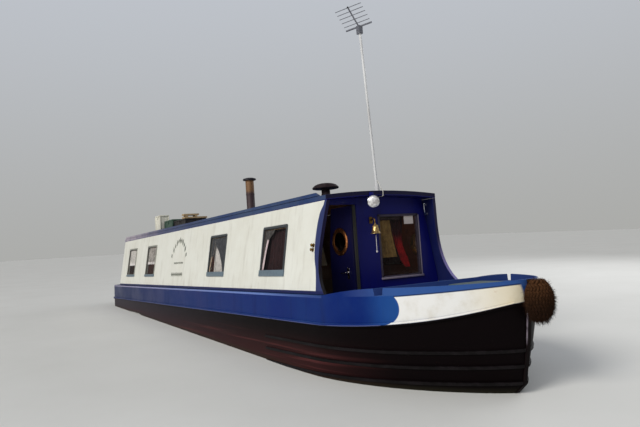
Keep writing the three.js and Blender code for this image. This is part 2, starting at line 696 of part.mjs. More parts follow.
// The doorway's outer edge leans in with the cabin side above shoulder height, and so does the door's.
function doorwayOutline(inset) {
  const { starboard, port, bottom, slantFrom, top } = FRONT_DOORWAY;
  const lean = (top - inset.top - slantFrom) * Math.tan(SIDE_SLOPE);
  return [
    [port - inset.port, bottom + inset.bottom],
    [port - inset.port, top - inset.top],
    [starboard + inset.starboard + lean, top - inset.top],
    [starboard + inset.starboard, slantFrom],
    [starboard + inset.starboard, bottom + inset.bottom],
  ];
}
const frontDoorway = plateX(
  shapeOf(doorwayOutline({ port: 0, starboard: 0, bottom: 0, top: 0 })),
  [bulkheadRear - 50, BULKHEAD_X + 50],
);
const frontWindowHole = block(
  [bulkheadRear - 50, BULKHEAD_X + 50],
  [FRONT_WINDOW.starboard, FRONT_WINDOW.port],
  [FRONT_WINDOW.bottom, FRONT_WINDOW.top],
);
add("front_bulkhead", cut(frontBoard, aboveRoofUnderside, frontDoorway, frontWindowHole), "blue");

const FRAME_BAR = 26;
const FRONT_GLASS = { face: BULKHEAD_X - 14, back: BULKHEAD_X - 22 };
const windowBlock = block(
  [bulkheadRear + 4, BULKHEAD_X + 6],
  [FRONT_WINDOW.starboard + GAP, FRONT_WINDOW.port - GAP],
  [FRONT_WINDOW.bottom + GAP, FRONT_WINDOW.top - GAP],
);
const sightWidth = [FRONT_WINDOW.starboard + FRAME_BAR, FRONT_WINDOW.port - FRAME_BAR];
const sightHeight = [FRONT_WINDOW.bottom + FRAME_BAR, FRONT_WINDOW.top - FRAME_BAR];
const frontRecess = block([FRONT_GLASS.face, BULKHEAD_X + 20], sightWidth, sightHeight);
const rearRecess = block([bulkheadRear - 10, FRONT_GLASS.back], sightWidth, sightHeight);
add("front_window", cut(windowBlock, frontRecess, rearRecess), "alloy");

// Front door, drawn open at a right angle inside the cabin as it stands at rest
const FRONT_HINGE = { x: bulkheadRear - 5, y: FRONT_DOORWAY.port - 2 };
const FRONT_DOOR = { thickness: 34, clear: { port: 5, starboard: 8, bottom: 7, top: 7 } };
const DOOR_PORTHOLE = { x: FRONT_HINGE.x - 270, z: 1712, hole: 118, ring: 165, depth: 16 };
const doorFace = FRONT_HINGE.y - 5 - FRONT_DOOR.thickness;
const frontDoorPanel = plateY(
  shapeOf(doorwayOutline(FRONT_DOOR.clear).map(([y, z]) => [FRONT_HINGE.x + y - FRONT_HINGE.y, z])),
  [doorFace, FRONT_HINGE.y - 5],
);

function throughDoor(y, radius) {
  return bar([DOOR_PORTHOLE.x, y[0], DOOR_PORTHOLE.z], [DOOR_PORTHOLE.x, y[1], DOOR_PORTHOLE.z], radius, 28);
}

// Hinge knuckles on a door's own edge, tied to its panel by short leaves.
function knuckles(x, y, radius, leaf, heights) {
  return heights.flatMap((z) => [
    bar([x, y, z - 35], [x, y, z + 35], radius),
    block(leaf.x, leaf.y, [z - 30, z + 30]),
  ]);
}

const frontLeaf = { x: [FRONT_HINGE.x - 12, FRONT_HINGE.x], y: [FRONT_HINGE.y - 8, FRONT_HINGE.y - 1] };
add(
  "front_door",
  join(
    cut(frontDoorPanel, throughDoor([doorFace - 50, doorFace + 90], DOOR_PORTHOLE.hole)),
    ...knuckles(FRONT_HINGE.x, FRONT_HINGE.y, 4.6, frontLeaf, [850, 1950]),
  ),
  "blue",
);
const frontRing = throughDoor([doorFace - DOOR_PORTHOLE.depth, doorFace - GAP], DOOR_PORTHOLE.ring);
const frontGlassRecess = throughDoor([doorFace - 40, doorFace - 10], DOOR_PORTHOLE.hole - 6);
add("front_door_porthole", cut(frontRing, frontGlassRecess), "brass");

// Rear bulkhead, its doorway open at the top into the hatch, and the pair of doors
const rearFace = CABIN_REAR_X + BULKHEAD_THICKNESS;
const rearBoard = plateX(bulkheadOutline(GUNWALE_Z + GAP), [CABIN_REAR_X, rearFace]);
const rearDoorway = block(
  [CABIN_REAR_X - 50, rearFace + 50],
  [-REAR_DOORWAY_HALF, REAR_DOORWAY_HALF],
  [GUNWALE_Z + 60, 2400],
);
add("rear_bulkhead", cut(rearBoard, aboveRoofUnderside, rearDoorway), "blue");

const REAR_DOOR = { thickness: 32, bottom: GUNWALE_Z + 66, top: 2150 };
const REAR_HINGE = { x: CABIN_REAR_X - 6, y: -REAR_DOORWAY_HALF - 1 };
const rearPanel = block(
  [CABIN_REAR_X + 2, CABIN_REAR_X + 2 + REAR_DOOR.thickness],
  [6 - REAR_DOORWAY_HALF, -3],
  [REAR_DOOR.bottom, REAR_DOOR.top],
);
const rearLeaf = { x: [REAR_HINGE.x, CABIN_REAR_X + 4], y: [REAR_HINGE.y + 2, 12 - REAR_DOORWAY_HALF] };
addPair(
  "rear_door",
  join(rearPanel, ...knuckles(REAR_HINGE.x, REAR_HINGE.y, 5.6, rearLeaf, [1400, 1980])),
  "blue",
);

// Rudder on its stock, with the curved arm and the tiller that steer it
const RUDDER_BLADE = { ahead: 120, behind: 330, bottom: 70, top: COUNTER_BOTTOM_Z - 30, halfThickness: 8 };
const blade = shapeOf([
  [RUDDER_X + RUDDER_BLADE.ahead, RUDDER_BLADE.bottom],
  [RUDDER_X + RUDDER_BLADE.ahead, RUDDER_BLADE.top],
  [RUDDER_X - RUDDER_BLADE.behind, RUDDER_BLADE.top],
  [RUDDER_X - RUDDER_BLADE.behind - 20, RUDDER_BLADE.top - 90],
  [RUDDER_X - RUDDER_BLADE.behind - 10, RUDDER_BLADE.bottom],
]);
const stock = bar(
  [RUDDER_X, 0, BASE_THICKNESS + GAP],
  [RUDDER_X, 0, GUNWALE_Z + 160],
  STOCK_RADIUS,
  ROUND_SIDES,
);
const neckPath = pathThrough([
  [RUDDER_X, 0, GUNWALE_Z + 120],
  [RUDDER_X, 0, GUNWALE_Z + 300],
  [RUDDER_X - 40, 0, GUNWALE_Z + 520],
  [RUDDER_X - 50, 0, GUNWALE_Z + 760],
  [RUDDER_X + 30, 0, GUNWALE_Z + 960],
  [RUDDER_X + 190, 0, GUNWALE_Z + 1020],
]);
const swanNeck = bentBar(neckPath, 20, 14);
const neckCollar = bar([RUDDER_X, 0, GUNWALE_Z + GAP], [RUDDER_X, 0, GUNWALE_Z + 40], 44, 20);
const bladePlate = plateY(blade, [-RUDDER_BLADE.halfThickness, RUDDER_BLADE.halfThickness]);
add("rudder", join(bladePlate, stock, neckCollar, swanNeck), "steel");

// The tiller is a bar that goes on in line with the end of the curved arm.
const neckEnd = neckPath.getPoint(1);
const tillerAt = (distance) => neckEnd.clone().addScaledVector(neckPath.getTangent(1), distance).toArray();
add(
  "tiller",
  join(bar(tillerAt(GAP), tillerAt(190), 17), bar(tillerAt(175), tillerAt(285), 19, 14)),
  "brass",
);

// Propeller and its shaft, which runs into the stern tube
const hub = turned([[0, -60], [52, -60], [56, 0], [50, 50], [30, 72], [0, 78]], 20);
const BLADE = { count: 3, root: 41, half: 74, thickness: 9, pitch: 0.62 };
const bladeShapes = Array.from({ length: BLADE.count }, (_, i) => {
  const outline = new THREE.Shape();
  const [middle, reach] = [(PROPELLER_RADIUS + BLADE.root) / 2, (PROPELLER_RADIUS - BLADE.root) / 2];
  outline.absellipse(0, middle, BLADE.half, reach, 0, 2 * Math.PI);
  return extrude(outline, BLADE.thickness, 8)
    .translate(0, 0, -BLADE.thickness / 2)
    .rotateY(BLADE.pitch)
    .rotateZ((i * 2 * Math.PI) / BLADE.count);
});
const SHAFT_LENGTH = 270;
const shaft = bar([0, 0, -20], [0, 0, -20 - SHAFT_LENGTH], SHAFT_RADIUS, ROUND_SIDES);
const propeller = join(hub, shaft, ...bladeShapes);
const propellerMesh = add("propeller", propeller, "brass");
propellerMesh.position.set(PROPELLER_X, 0, SHAFT_Z);
propellerMesh.rotation.y = -Math.PI / 2;

// Roof fittings, each cut at its foot to the roof's camber
const roofZ = (y) => ROOF_EDGE_Z + camberZ(y);
const belowRoofTop = plateX(
  shapeOf([[-ROOF_HALF_WIDTH, 2000], ...roofTop.map(([y, z]) => [y, z + GAP]), [ROOF_HALF_WIDTH, 2000]]),
  [ROOF_REAR_X, 0],
);

const VENT = { x: -880, y: -225 };
const ventProfile = [
  [0, 0],
  [90, 0],
  [90, 16],
  [54, 18],
  [54, 126],
  [158, 136],
  [167, 152],
  [134, 184],
  [70, 204],
  [0, 211],
];
const mushroomVent = turned(ventProfile, 20).translate(VENT.x, VENT.y, roofZ(VENT.y - 90) - 2);
add("mushroom_vent", cut(mushroomVent, belowRoofTop), "steel");

const CHIMNEY = { x: -2740, y: -400, pipe: 62, height: 540, cap: 98 };
const chimneyProfile = [
  [0, 0],
  [100, 0],
  [100, 10],
  [76, 14],
  [76, 60],
  [CHIMNEY.pipe, 64],
  [CHIMNEY.pipe, CHIMNEY.height - 30],
  [CHIMNEY.cap, CHIMNEY.height - 30],
  [CHIMNEY.cap, CHIMNEY.height - 8],
  [0, CHIMNEY.height + 12],
];
const chimney = turned(chimneyProfile, 20).translate(CHIMNEY.x, CHIMNEY.y, roofZ(CHIMNEY.y - 100) - 2);
add("chimney", cut(chimney, belowRoofTop), "black");

const MAST = { foot: [-115, 0, 2262], head: [-226, 0, 4224], radius: 16 };
const mastPole = bar(MAST.foot, MAST.head, MAST.radius);
const mastSocket = turned([[0, 0], [48, 0], [48, 8], [28, 10], [28, 90], [0, 90]], 20);
mastSocket.translate(MAST.foot[0], 0, roofZ(0) + GAP);
const clearOfRoof = block([-400, 100], [-200, 200], [2000, roofZ(0) + GAP]);
add("mast", cut(join(mastPole, mastSocket), clearOfRoof), "white");

// Aerial: a boom clamped over the top of the mast, with rods across it and a thicker one at the clamp
const AERIAL = { z: MAST.head[2] + 23, rodAt: [62, 118, 172, 224, 275], rod: 378, boom: [-60, 285] };
const mastFoot = new THREE.Vector3(...MAST.foot);
const mastHead = new THREE.Vector3(...MAST.head);
const mastAt = (z) => mastFoot.clone().lerp(mastHead, (z - mastFoot.z) / (mastHead.z - mastFoot.z));
const boomDirection = new THREE.Vector3(0.229, -0.693, 0.684).normalize();
const rodDirection = new THREE.Vector3(0.95, 0.314, 0).normalize();
const boomAt = (distance) => mastAt(AERIAL.z).addScaledVector(boomDirection, distance);
const boom = bar(...AERIAL.boom.map((distance) => boomAt(distance).toArray()), 9, 8);

function rodAcross(distance, radius) {
  const reach = rodDirection.clone().multiplyScalar(AERIAL.rod / 2);
  const middle = boomAt(distance);
  return bar(middle.clone().sub(reach).toArray(), middle.clone().add(reach).toArray(), radius, 8);
}
const rods = AERIAL.rodAt.map((distance) => rodAcross(distance, 4.5));
const clamp = block([-28, 28], [-28, 28], [-80, 20]).translate(...mastAt(AERIAL.z).toArray());
const aroundMast = bar(
  mastAt(AERIAL.z - 120).toArray(),
  mastAt(MAST.head[2] + GAP).toArray(),
  MAST.radius + GAP,
);
add("tv_aerial", cut(join(clamp, boom, rodAcross(12, 11), ...rods), aroundMast), "alloy");

// The aerial's cable leaves the mast low down, lies over the roof's front edge and goes in under it.
const CABLE = { radius: 5, leavesMast: 2388 };
const cableStart = mastAt(CABLE.leavesMast).add(new THREE.Vector3(MAST.radius + 4, 0, 0));
const edgeTop = ROOF_EDGE_Z + ROOF_CAMBER;
const edgeUnder = edgeTop - ROOF_THICKNESS;
const cablePath = pathThrough([
  cableStart.toArray(),
  [-72, -3, 2352],
  [-48, -6, 2312],
  [-24, -9, edgeTop + 20],
  [-4, -11, edgeTop + 9],
  [7, -12, edgeTop],
  [8, -13, edgeTop - 14],
  [8, -14, edgeUnder + 10],
  [6, -15, edgeUnder - 4],
  [-6, -15, edgeUnder - 10],
  [-90, -16, edgeUnder - 10],
  [BULKHEAD_X + GAP, -16, edgeUnder - 10],
]);
add("aerial_cable", bentBar(cablePath, CABLE.radius, 72, 8), "white");

// Boxes on the roof near its rear, and a pair of boards that lie across the front end of the black one
const ROOF_BOXES = {
  roof_locker: { x: [-7150, -6800], y: [-600, -400], top: 2590, paint: "cream" },
  pigeon_box: { x: [-6770, -6230], y: [-520, -60], top: 2460, paint: "green" },
  coal_box: { x: [-6200, -5500], y: [-500, -80], top: 2415, paint: "black" },
};
for (const [name, { x, y, top, paint }] of Object.entries(ROOF_BOXES))
  add(name, cut(block(x, y, [ROOF_EDGE_Z - 20, top]), belowRoofTop), paint);

// The upper board is shorter than the lower one and lies on two battens.
const BOARD = { x: [-5640, -5492], starboard: -515, lower: 450, upper: 290, thickness: 30, batten: 40 };
const BATTENS = { thickness: 26, from: [35, 215] };

function board(width, offset, height, thickness) {
  const near = BOARD.starboard + offset;
  const foot = ROOF_BOXES.coal_box.top + GAP + height;
  return block(BOARD.x, [near, near + width], [foot, foot + thickness]);
}
const sunk = 1;
const battens = BATTENS.from.map((offset) =>
  board(BOARD.batten, offset, BOARD.thickness - sunk, BATTENS.thickness + 2 * sunk),
);
const upperBoard = board(BOARD.upper, 0, BOARD.thickness + BATTENS.thickness, BOARD.thickness);
add("roof_boards", join(board(BOARD.lower, 0, 0, BOARD.thickness), ...battens, upperBoard), "floor");

// Headlamp under the front edge of the roof, turned to starboard, and the bell on its bracket
const LAMP = { x: 34, y: -179, z: 2131, turn: THREE.MathUtils.degToRad(-28), stemX: 12, stemRadius: 9 };
const lampBowl = turned([[0, -68], [26, -66], [55, -34], [66, 0], [70, 6], [70, 22], [64, 29], [0, 37]], 28);
lampBowl.rotateY(Math.PI / 2).rotateZ(LAMP.turn).translate(LAMP.x, LAMP.y, LAMP.z);
const lampStem = bar(
  [LAMP.stemX, LAMP.y, LAMP.z + 30],
  [LAMP.stemX, LAMP.y, ROOF_EDGE_Z - 8],
  LAMP.stemRadius,
);
const lampFoot = block([GAP, 20], [LAMP.y - 25, LAMP.y + 25], [ROOF_EDGE_Z - 20, ROOF_EDGE_Z + 20]);
add("headlamp", join(lampBowl, lampStem, lampFoot), "chrome");

const BELL = { x: -40, y: -122, z: 1773, height: 112 };
const bellInside = [[0, 92], [22, 88], [31, 66], [38, 23], [53, 0]];
const bellOutside = [[62, 0], [62, 4], [43, 27], [35, 70], [28, 98], [13, 110], [0, BELL.height]];
const bellBody = turned([...bellInside, ...bellOutside], 20).translate(BELL.x, BELL.y, BELL.z);
const bellClapper = bar([BELL.x, BELL.y, BELL.z - 14], [BELL.x, BELL.y, BELL.z + 96], 5);
const BELL_PLATE = { y: -67, z: 1936, half: 22, height: 80 };
const bellArm = bentBar(
  pathThrough([
    [BULKHEAD_X + 8, BELL_PLATE.y, BELL_PLATE.z],
    [BULKHEAD_X + 60, BELL_PLATE.y - 12, BELL_PLATE.z + 16],
    [BELL.x - 50, BELL.y + 14, BELL_PLATE.z + 18],
    [BELL.x - 6, BELL.y, BELL_PLATE.z + 2],
    [BELL.x, BELL.y, BELL.z + BELL.height - 8],
  ]),
  7,
  10,
  6,
);
const bellPlate = block(
  [BULKHEAD_X + GAP, BULKHEAD_X + 10],
  [BELL_PLATE.y - BELL_PLATE.half, BELL_PLATE.y + BELL_PLATE.half],
  [BELL_PLATE.z - BELL_PLATE.height / 2, BELL_PLATE.z + BELL_PLATE.height / 2],
);
add("bell", join(bellBody, bellClapper, bellArm, bellPlate), "brass");

// The bell's lanyard hangs from the clapper and ends in a knot.
const LANYARD = { radius: 4, length: 200 };
const lanyardTop = BELL.z - 14 - GAP;
add(
  "bell_lanyard",
  bentBar(
    pathThrough([
      [BELL.x, BELL.y, lanyardTop],
      [BELL.x, BELL.y, lanyardTop - LANYARD.length],
    ]),
    LANYARD.radius,
    10,
    8,
  ),
  "white",
);

// Rope fenders at both ends
const fenderFace = STEM_X + STEM_POST_DEPTH + GAP;
const BOW_FENDER = { middle: 80, half: 125, halfHeight: 190, z: 1080 };
const bowFender = new THREE.SphereGeometry(1, 18, 10).rotateX(Math.PI / 2);
bowFender.scale(FENDER_DEPTH - BOW_FENDER.middle, BOW_FENDER.half, BOW_FENDER.halfHeight);
bowFender.translate(fenderFace + BOW_FENDER.middle, 0, BOW_FENDER.z);
const behindStem = block([fenderFace - 600, fenderFace], [-400, 400], [500, 1500]);
add("bow_fender", cut(bowFender, behindStem), "rope");

const STERN_FENDER = { middle: 60, half: 330, halfHeight: 110, z: 1010 };
const sternFender = new THREE.SphereGeometry(1, 20, 10).rotateX(Math.PI / 2);
sternFender.scale(STERN_FENDER_DEPTH + STERN_FENDER.middle, STERN_FENDER.half, STERN_FENDER.halfHeight);
sternFender.translate(COUNTER_END_X + STERN_FENDER.middle, 0, STERN_FENDER.z);
const counterSkin = loft(
  COUNTER_STATIONS.map((x) => [
    [x - GAP, counterHalf(x, HALF_BEAM) + GAP, COUNTER_BOTTOM_Z],
    [x - GAP, counterHalf(x, HALF_BEAM) + GAP, GUNWALE_Z + 50],
  ]),
);
add("stern_fender", cut(sternFender, counterSkin), "rope");

// The origin is at the middle of the whole length, under the baseplate.
const frontTip = fenderFace + FENDER_DEPTH;
const rearTip = COUNTER_END_X - STERN_FENDER_DEPTH;
boat.position.x = -(frontTip + rearTip) / 2;

export default boat;
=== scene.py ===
import math
import random

import bmesh
import bpy
from mathutils import Matrix, Vector


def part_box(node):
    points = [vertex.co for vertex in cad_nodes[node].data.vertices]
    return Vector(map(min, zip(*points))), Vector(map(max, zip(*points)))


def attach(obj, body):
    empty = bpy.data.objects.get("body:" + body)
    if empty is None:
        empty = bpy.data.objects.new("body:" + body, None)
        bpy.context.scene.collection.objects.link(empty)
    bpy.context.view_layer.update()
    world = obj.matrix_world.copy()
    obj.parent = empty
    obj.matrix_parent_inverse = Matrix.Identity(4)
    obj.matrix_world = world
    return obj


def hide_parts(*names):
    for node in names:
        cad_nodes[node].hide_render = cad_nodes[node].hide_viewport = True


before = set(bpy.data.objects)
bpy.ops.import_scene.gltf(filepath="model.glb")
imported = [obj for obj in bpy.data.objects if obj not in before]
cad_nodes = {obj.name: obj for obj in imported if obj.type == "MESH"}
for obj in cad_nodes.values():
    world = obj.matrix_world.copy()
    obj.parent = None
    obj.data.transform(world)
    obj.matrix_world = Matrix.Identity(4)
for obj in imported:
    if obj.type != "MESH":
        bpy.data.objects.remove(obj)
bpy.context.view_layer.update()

scene = bpy.context.scene

# The view is from the bank ahead of the boat, off its starboard bow, at about head height over the water.
# The camera's distances run from the front edge of the cabin roof, which the heading and tilt were found with.
ROOF_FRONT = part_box("roof")[1].x
CAMERA_HEADING = math.radians(148.783)
CAMERA_CLIMB = math.radians(3.668)
CAMERA_ROLL = math.radians(-3.958)

camera_data = bpy.data.cameras.new("camera")
camera_data.sensor_width = 36
camera_data.lens = 33.8
camera_data.clip_end = 200
camera = bpy.data.objects.new("camera", camera_data)
scene.collection.objects.link(camera)
scene.camera = camera
camera.location = (ROOF_FRONT + 5.459, -4.173, 1.608)
camera_aim = Vector((
    math.cos(CAMERA_CLIMB) * math.cos(CAMERA_HEADING),
    math.cos(CAMERA_CLIMB) * math.sin(CAMERA_HEADING),
    math.sin(CAMERA_CLIMB),
))
level_view = camera_aim.to_track_quat("-Z", "Y").to_matrix()
camera.rotation_euler = (level_view @ Matrix.Rotation(CAMERA_ROLL, 3, "Z")).to_euler()


# Bell lanyard: a plaited cotton cord of 0.2 m with a knot at its end, hung from the clapper. The cord is three
# strands wound about the route that the frame's plain cord takes.
class Output:
    """An output of a node. A sum or product that it is written in becomes nodes of its own."""

    def __init__(self, socket):
        self.socket = socket

    def __add__(self, other):
        return calc("ADD", self, other)

    def __sub__(self, other):
        return calc("SUBTRACT", self, other)

    def __rsub__(self, other):
        return calc("SUBTRACT", other, self)

    def __mul__(self, other):
        return calc("MULTIPLY", self, other)

    def __truediv__(self, other):
        return calc("DIVIDE", self, other)

    def __pow__(self, other):
        return calc("POWER", self, other)

    def __abs__(self):
        return calc("ABSOLUTE", self)

    __radd__ = __add__
    __rmul__ = __mul__


class Outputs:
    """The outputs of a node, by name or number."""

    def __init__(self, node):
        self.node = node

    def __getitem__(self, key):
        return Output(self.node.outputs[key])


def fill(socket, value):
    """Gives an input a number or a colour, or links an output to it."""
    if isinstance(value, Output):
        socket.id_data.links.new(value.socket, socket)
    else:
        socket.default_value = value


def put(tree, kind, values=(), **settings):
    """Adds a node and fills its inputs. The tree may also be given by one of its outputs."""
    tree = tree.socket.id_data if isinstance(tree, Output) else tree
    node = tree.nodes.new("ShaderNode" + kind)
    for name, setting in settings.items():
        setattr(node, name, setting)
    for name, value in dict(values).items():
        fill(node.inputs[name], value)
    return Outputs(node)


def calc(operation, *values, clamp=False):
    known = next(value for value in values if isinstance(value, Output))
    return put(known, "Math", enumerate(values), operation=operation, use_clamp=clamp)[0]


def mix(share, first, second):
    return put(share, "Mix", {0: share, 6: first, 7: second}, data_type="RGBA")[2]


def rgb(red, green, blue):
    """A colour given by its screen values from 0 to 255."""
    parts = [part / 255 for part in (red, green, blue)]
    return (*[p / 12.92 if p < 0.04045 else ((p + 0.055) / 1.055) ** 2.4 for p in parts], 1.0)


def shade(colour, factor):
    return (*[min(1.0, part * factor) for part in colour[:3]], 1.0)


def speckle(place, scale, detail=3.0, rough=0.55, stretch=None):
    """Noise over the piece, drawn out along one axis where stretch says so."""
    if stretch:
        place = put(place, "Mapping", {"Vector": place, "Scale": stretch})[0]
    return put(place, "TexNoise", {"Vector": place, "Scale": scale, "Detail": detail, "Roughness": rough})[
        "Fac"]


def new_material(name):
    """A new material and its shader, with the place on the piece as a vector and as its three numbers."""
    material = bpy.data.materials.new(name)
    material.use_nodes = True
    tree = material.node_tree
    place = put(tree, "TexCoord")["Object"]
    parts = put(tree, "SeparateXYZ", {0: place})
    return material, tree.nodes["Principled BSDF"], place, [parts[i] for i in range(3)]


def feed(shader, **sockets):
    """Fills inputs of the shader; an underscore in a name stands for a space."""
    for name, value in sockets.items():
        fill(shader.inputs[name.replace("_", " ")], value)


def bump(height, strength, distance):
    return put(height, "Bump", {"Height": height, "Strength": strength, "Distance": distance})[0]


def mesh_of(bm, name, smooth=35):
    """Ends a bmesh: it becomes a mesh, smooth but for edges sharper than so many degrees."""
    mesh = bpy.data.meshes.new(name)
    for face in bm.faces:
        face.smooth = True
    for edge in bm.edges:
        if len(edge.link_faces) == 2:
            edge.smooth = edge.calc_face_angle(0) < math.radians(smooth)
    bm.to_mesh(mesh)
    bm.free()
    return mesh


def finished(name, bm, material, slot, *replaced, body="hull", smooth=35):
    """Makes the object of a finished bmesh, paints it and fastens it to its body."""
    mesh = mesh_of(bm, name, smooth)
    mesh.materials.append(material)
    piece = bpy.data.objects.new(name, mesh)
    scene.collection.objects.link(piece)
    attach(piece, body)
    if replaced:
        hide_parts(*replaced)
    return piece


def gather(bm, own):
    """Adds a small bmesh to a larger one, and frees it."""
    scrap = bpy.data.meshes.new("scrap")
    own.to_mesh(scrap)
    own.free()
    bm.from_mesh(scrap)
    bpy.data.meshes.remove(scrap)


def sweep(bm, path, radius, sides=10, closed_ends=True):
    """A round rod along a path: a ring of edges is extruded from point to point, turned to the path."""
    points = [Vector(p) for p in path]
    radii = radius if hasattr(radius, "__len__") else [radius] * len(points)
    own = bmesh.new()
    ring = bmesh.ops.create_circle(own, cap_ends=False, segments=sides, radius=1)["verts"]
    local = [v.co.copy() for v in ring]
    first = edges = own.edges[:]
    across = (points[1] - points[0]).orthogonal().normalized()
    for i, point in enumerate(points):
        along = (points[min(i + 1, len(points) - 1)] - points[max(i - 1, 0)]).normalized()
        across = (across - along * across.dot(along)).normalized()
        turn = Matrix((across, along.cross(across), along)).transposed()
        if i:
            made = bmesh.ops.extrude_edge_only(own, edges=edges)["geom"]
            edges = [g for g in made if isinstance(g, bmesh.types.BMEdge)]
            order = {v.co.to_tuple(8): v for v in made if isinstance(v, bmesh.types.BMVert)}
            ring = [order[v.co.to_tuple(8)] for v in ring]
        for vertex, flat in zip(ring, local):
            vertex.co = point + turn @ (flat * radii[i])
    if closed_ends:
        bmesh.ops.edgeloop_fill(own, edges=first)
        bmesh.ops.edgeloop_fill(own, edges=edges)
    bmesh.ops.recalc_face_normals(own, faces=own.faces[:])
    gather(bm, own)


def cotton_material():
    material, shader, place, _ = new_material("lanyard_cotton")
    fibre = speckle(place, 900, 2.0, 0.6, (1, 1, 0.35))
    colour = mix(speckle(place, 60), rgb(226, 222, 222), rgb(186, 180, 178))
    feed(shader, Base_Color=mix(fibre, shade(rgb(200, 195, 196), 0.8), colour))
    feed(shader, Roughness=0.9, Sheen_Weight=0.3, Normal=bump(fibre, 0.5, 0.0006))
    return material


LANYARD_LENGTH = 0.2
LANYARD_RADIUS = 0.004
lanyard_exit = Vector((ROOF_FRONT - 0.04, -0.122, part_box("bell_lanyard")[1].z))
cotton = cotton_material()

bm = bmesh.new()
STRAND_TURNS = 9
STRAND_STEPS = 120
for strand in range(3):
    start = strand * 2 * math.pi / 3
    winding = []
    for i in range(STRAND_STEPS + 1):
        share = i / STRAND_STEPS
        angle = start + share * STRAND_TURNS * 2 * math.pi
        offset = Vector((math.cos(angle), math.sin(angle), 0)) * LANYARD_RADIUS * 0.46
        winding.append(lanyard_exit - Vector((0, 0, LANYARD_LENGTH * share)) + offset)
    sweep(bm, winding, LANYARD_RADIUS * 0.54, 7)
lanyard = finished("bell_lanyard_cord", bm, cotton, "cord", "bell_lanyard")

bm = bmesh.new()
for lap in range(3):
    loop = []
    for i in range(37):
        angle = i * 2 * math.pi / 36
        swell = 0.0075 + 0.0015 * math.cos(3 * angle + lap * 2.1)
        drop = -LANYARD_LENGTH + 0.012 + 0.007 * math.sin(2 * angle + lap * 2.1)
        loop.append(lanyard_exit + Vector((swell * math.cos(angle), swell * math.sin(angle), drop)))
    sweep(bm, loop, 0.0032, 7, closed_ends=False)
bmesh.ops.remove_doubles(bm, verts=bm.verts[:], dist=1e-5)
lanyard_knot = finished("lanyard_knot", bm, cotton, "cord")

# Aerial cable: a white coaxial cable that leaves the mast low down, lies over the roof's front edge and goes
# in through the front bulkhead under it.
def between(value, low, high, style="SMOOTHSTEP"):
    """0 below low, 1 above high."""
    values = {"Value": value, "From Min": low, "From Max": high}
    return put(value, "MapRange", values, interpolation_type=style)[0]


def mottled_material(name, first, second, mottle, rough, metal=0.0, relief=None, fine=None, spots=None):
    """Two colours mixed by a noise. Rough is a number, or two: the least, and how much the noise adds.

    The relief follows that noise, or a fine one of its own. Spots are what lies between two of its levels.
    """
    material, shader, place, _ = new_material(name)
    share = speckle(place, *mottle)
    if spots:
        share = between(share, *spots)
    if isinstance(rough, tuple):
        rough = rough[0] + share * rough[1]
    feed(shader, Base_Color=mix(share, first, second), Metallic=metal, Roughness=rough)
    if relief:
        feed(shader, Normal=bump(speckle(place, *fine) if fine else share, *relief))
    return material


def smooth_path(points, steps=4):
    """A rounded path through the points."""
    points = [Vector(p) for p in points]
    ends = [2 * points[0] - points[1]] + points + [2 * points[-1] - points[-2]]
    path = []
    for a, b, c, d in zip(ends, ends[1:], ends[2:], ends[3:]):
        for i in range(steps):
            t = i / steps
            path.append(
                0.5 * (2 * b + (c - a) * t + (2 * a - 5 * b + 4 * c - d) * t * t + (3 * b - a - 3 * c + d)
                    * t ** 3))
    return path + [points[-1]]


CABLE_RADIUS = 0.005
CABLE_POINTS = [
    (-0.1021, 0.0, 2.388), (-0.072, -0.003, 2.352), (-0.048, -0.006, 2.312), (-0.024, -0.009, 2.280),
    (-0.004, -0.011, 2.269), (0.007, -0.012, 2.260), (0.008, -0.013, 2.246), (0.008, -0.014, 2.215),
    (0.006, -0.015, 2.201), (-0.006, -0.015, 2.195), (-0.090, -0.016, 2.195), (-0.1997, -0.016, 2.195)]
cable_path = smooth_path([(x + ROOF_FRONT, y, z) for x, y, z in CABLE_POINTS], 3)
bm = bmesh.new()
sweep(bm, cable_path, CABLE_RADIUS, 12)
sheath = mottled_material(
    "cable_sheath", rgb(212, 210, 204), rgb(150, 146, 138), (45, 4.0, 0.6), 0.5, relief=(0.2, 0.0004))
cable = finished("aerial_cable_sheath", bm, sheath, "cord", "aerial_cable")
round(sum((b - a).length for a, b in zip(cable_path, cable_path[1:])), 3)

# Floor and light: a pale floor lies where the water's surface was, a little deeper at the bow, and soft lights
# stand off the starboard side, as the sky does over the far bank.
WATERLINE_FORE = Vector((5.924, 0, 0.25))
WATERLINE_AFT = Vector((-5.476, 0, 0.675))


def waterline(x):
    share = (x - WATERLINE_AFT.x) / (WATERLINE_FORE.x - WATERLINE_AFT.x)
    return WATERLINE_AFT.z + share * (WATERLINE_FORE.z - WATERLINE_AFT.z)


bm = bmesh.new()
bmesh.ops.create_grid(bm, x_segments=2, y_segments=2, size=70)
floor_slope = math.atan2(WATERLINE_AFT.z - WATERLINE_FORE.z, WATERLINE_FORE.x - WATERLINE_AFT.x)
bmesh.ops.rotate(bm, verts=bm.verts[:], cent=(0, 0, 0), matrix=Matrix.Rotation(floor_slope, 3, "Y"))
bmesh.ops.translate(bm, verts=bm.verts[:], vec=(0, 0, waterline(0)))
floor_mesh = mesh_of(bm, "floor")
floor_mesh.materials.append(mottled_material("floor", rgb(226, 225, 221), rgb(214, 213, 208), (0.8, 4.0), 0.8))
floor = bpy.data.objects.new("floor", floor_mesh)
scene.collection.objects.link(floor)

world = bpy.data.worlds.new("sky")
scene.world = world
world.use_nodes = True
world_tree = world.node_tree
sky_height = put(world_tree, "SeparateXYZ", {0: put(world_tree, "TexCoord")["Generated"]})[2]
sky_colour = mix(between(sky_height, -0.1, 0.6), rgb(188, 188, 184), rgb(214, 220, 230))
sky_seen = put(world_tree, "LightPath")["Is Camera Ray"]
sky_strength = sky_seen * 0.40 + 0.40
feed(world_tree.nodes["Background"], Color=sky_colour, Strength=sky_strength)
scene.view_settings.view_transform = "Standard"


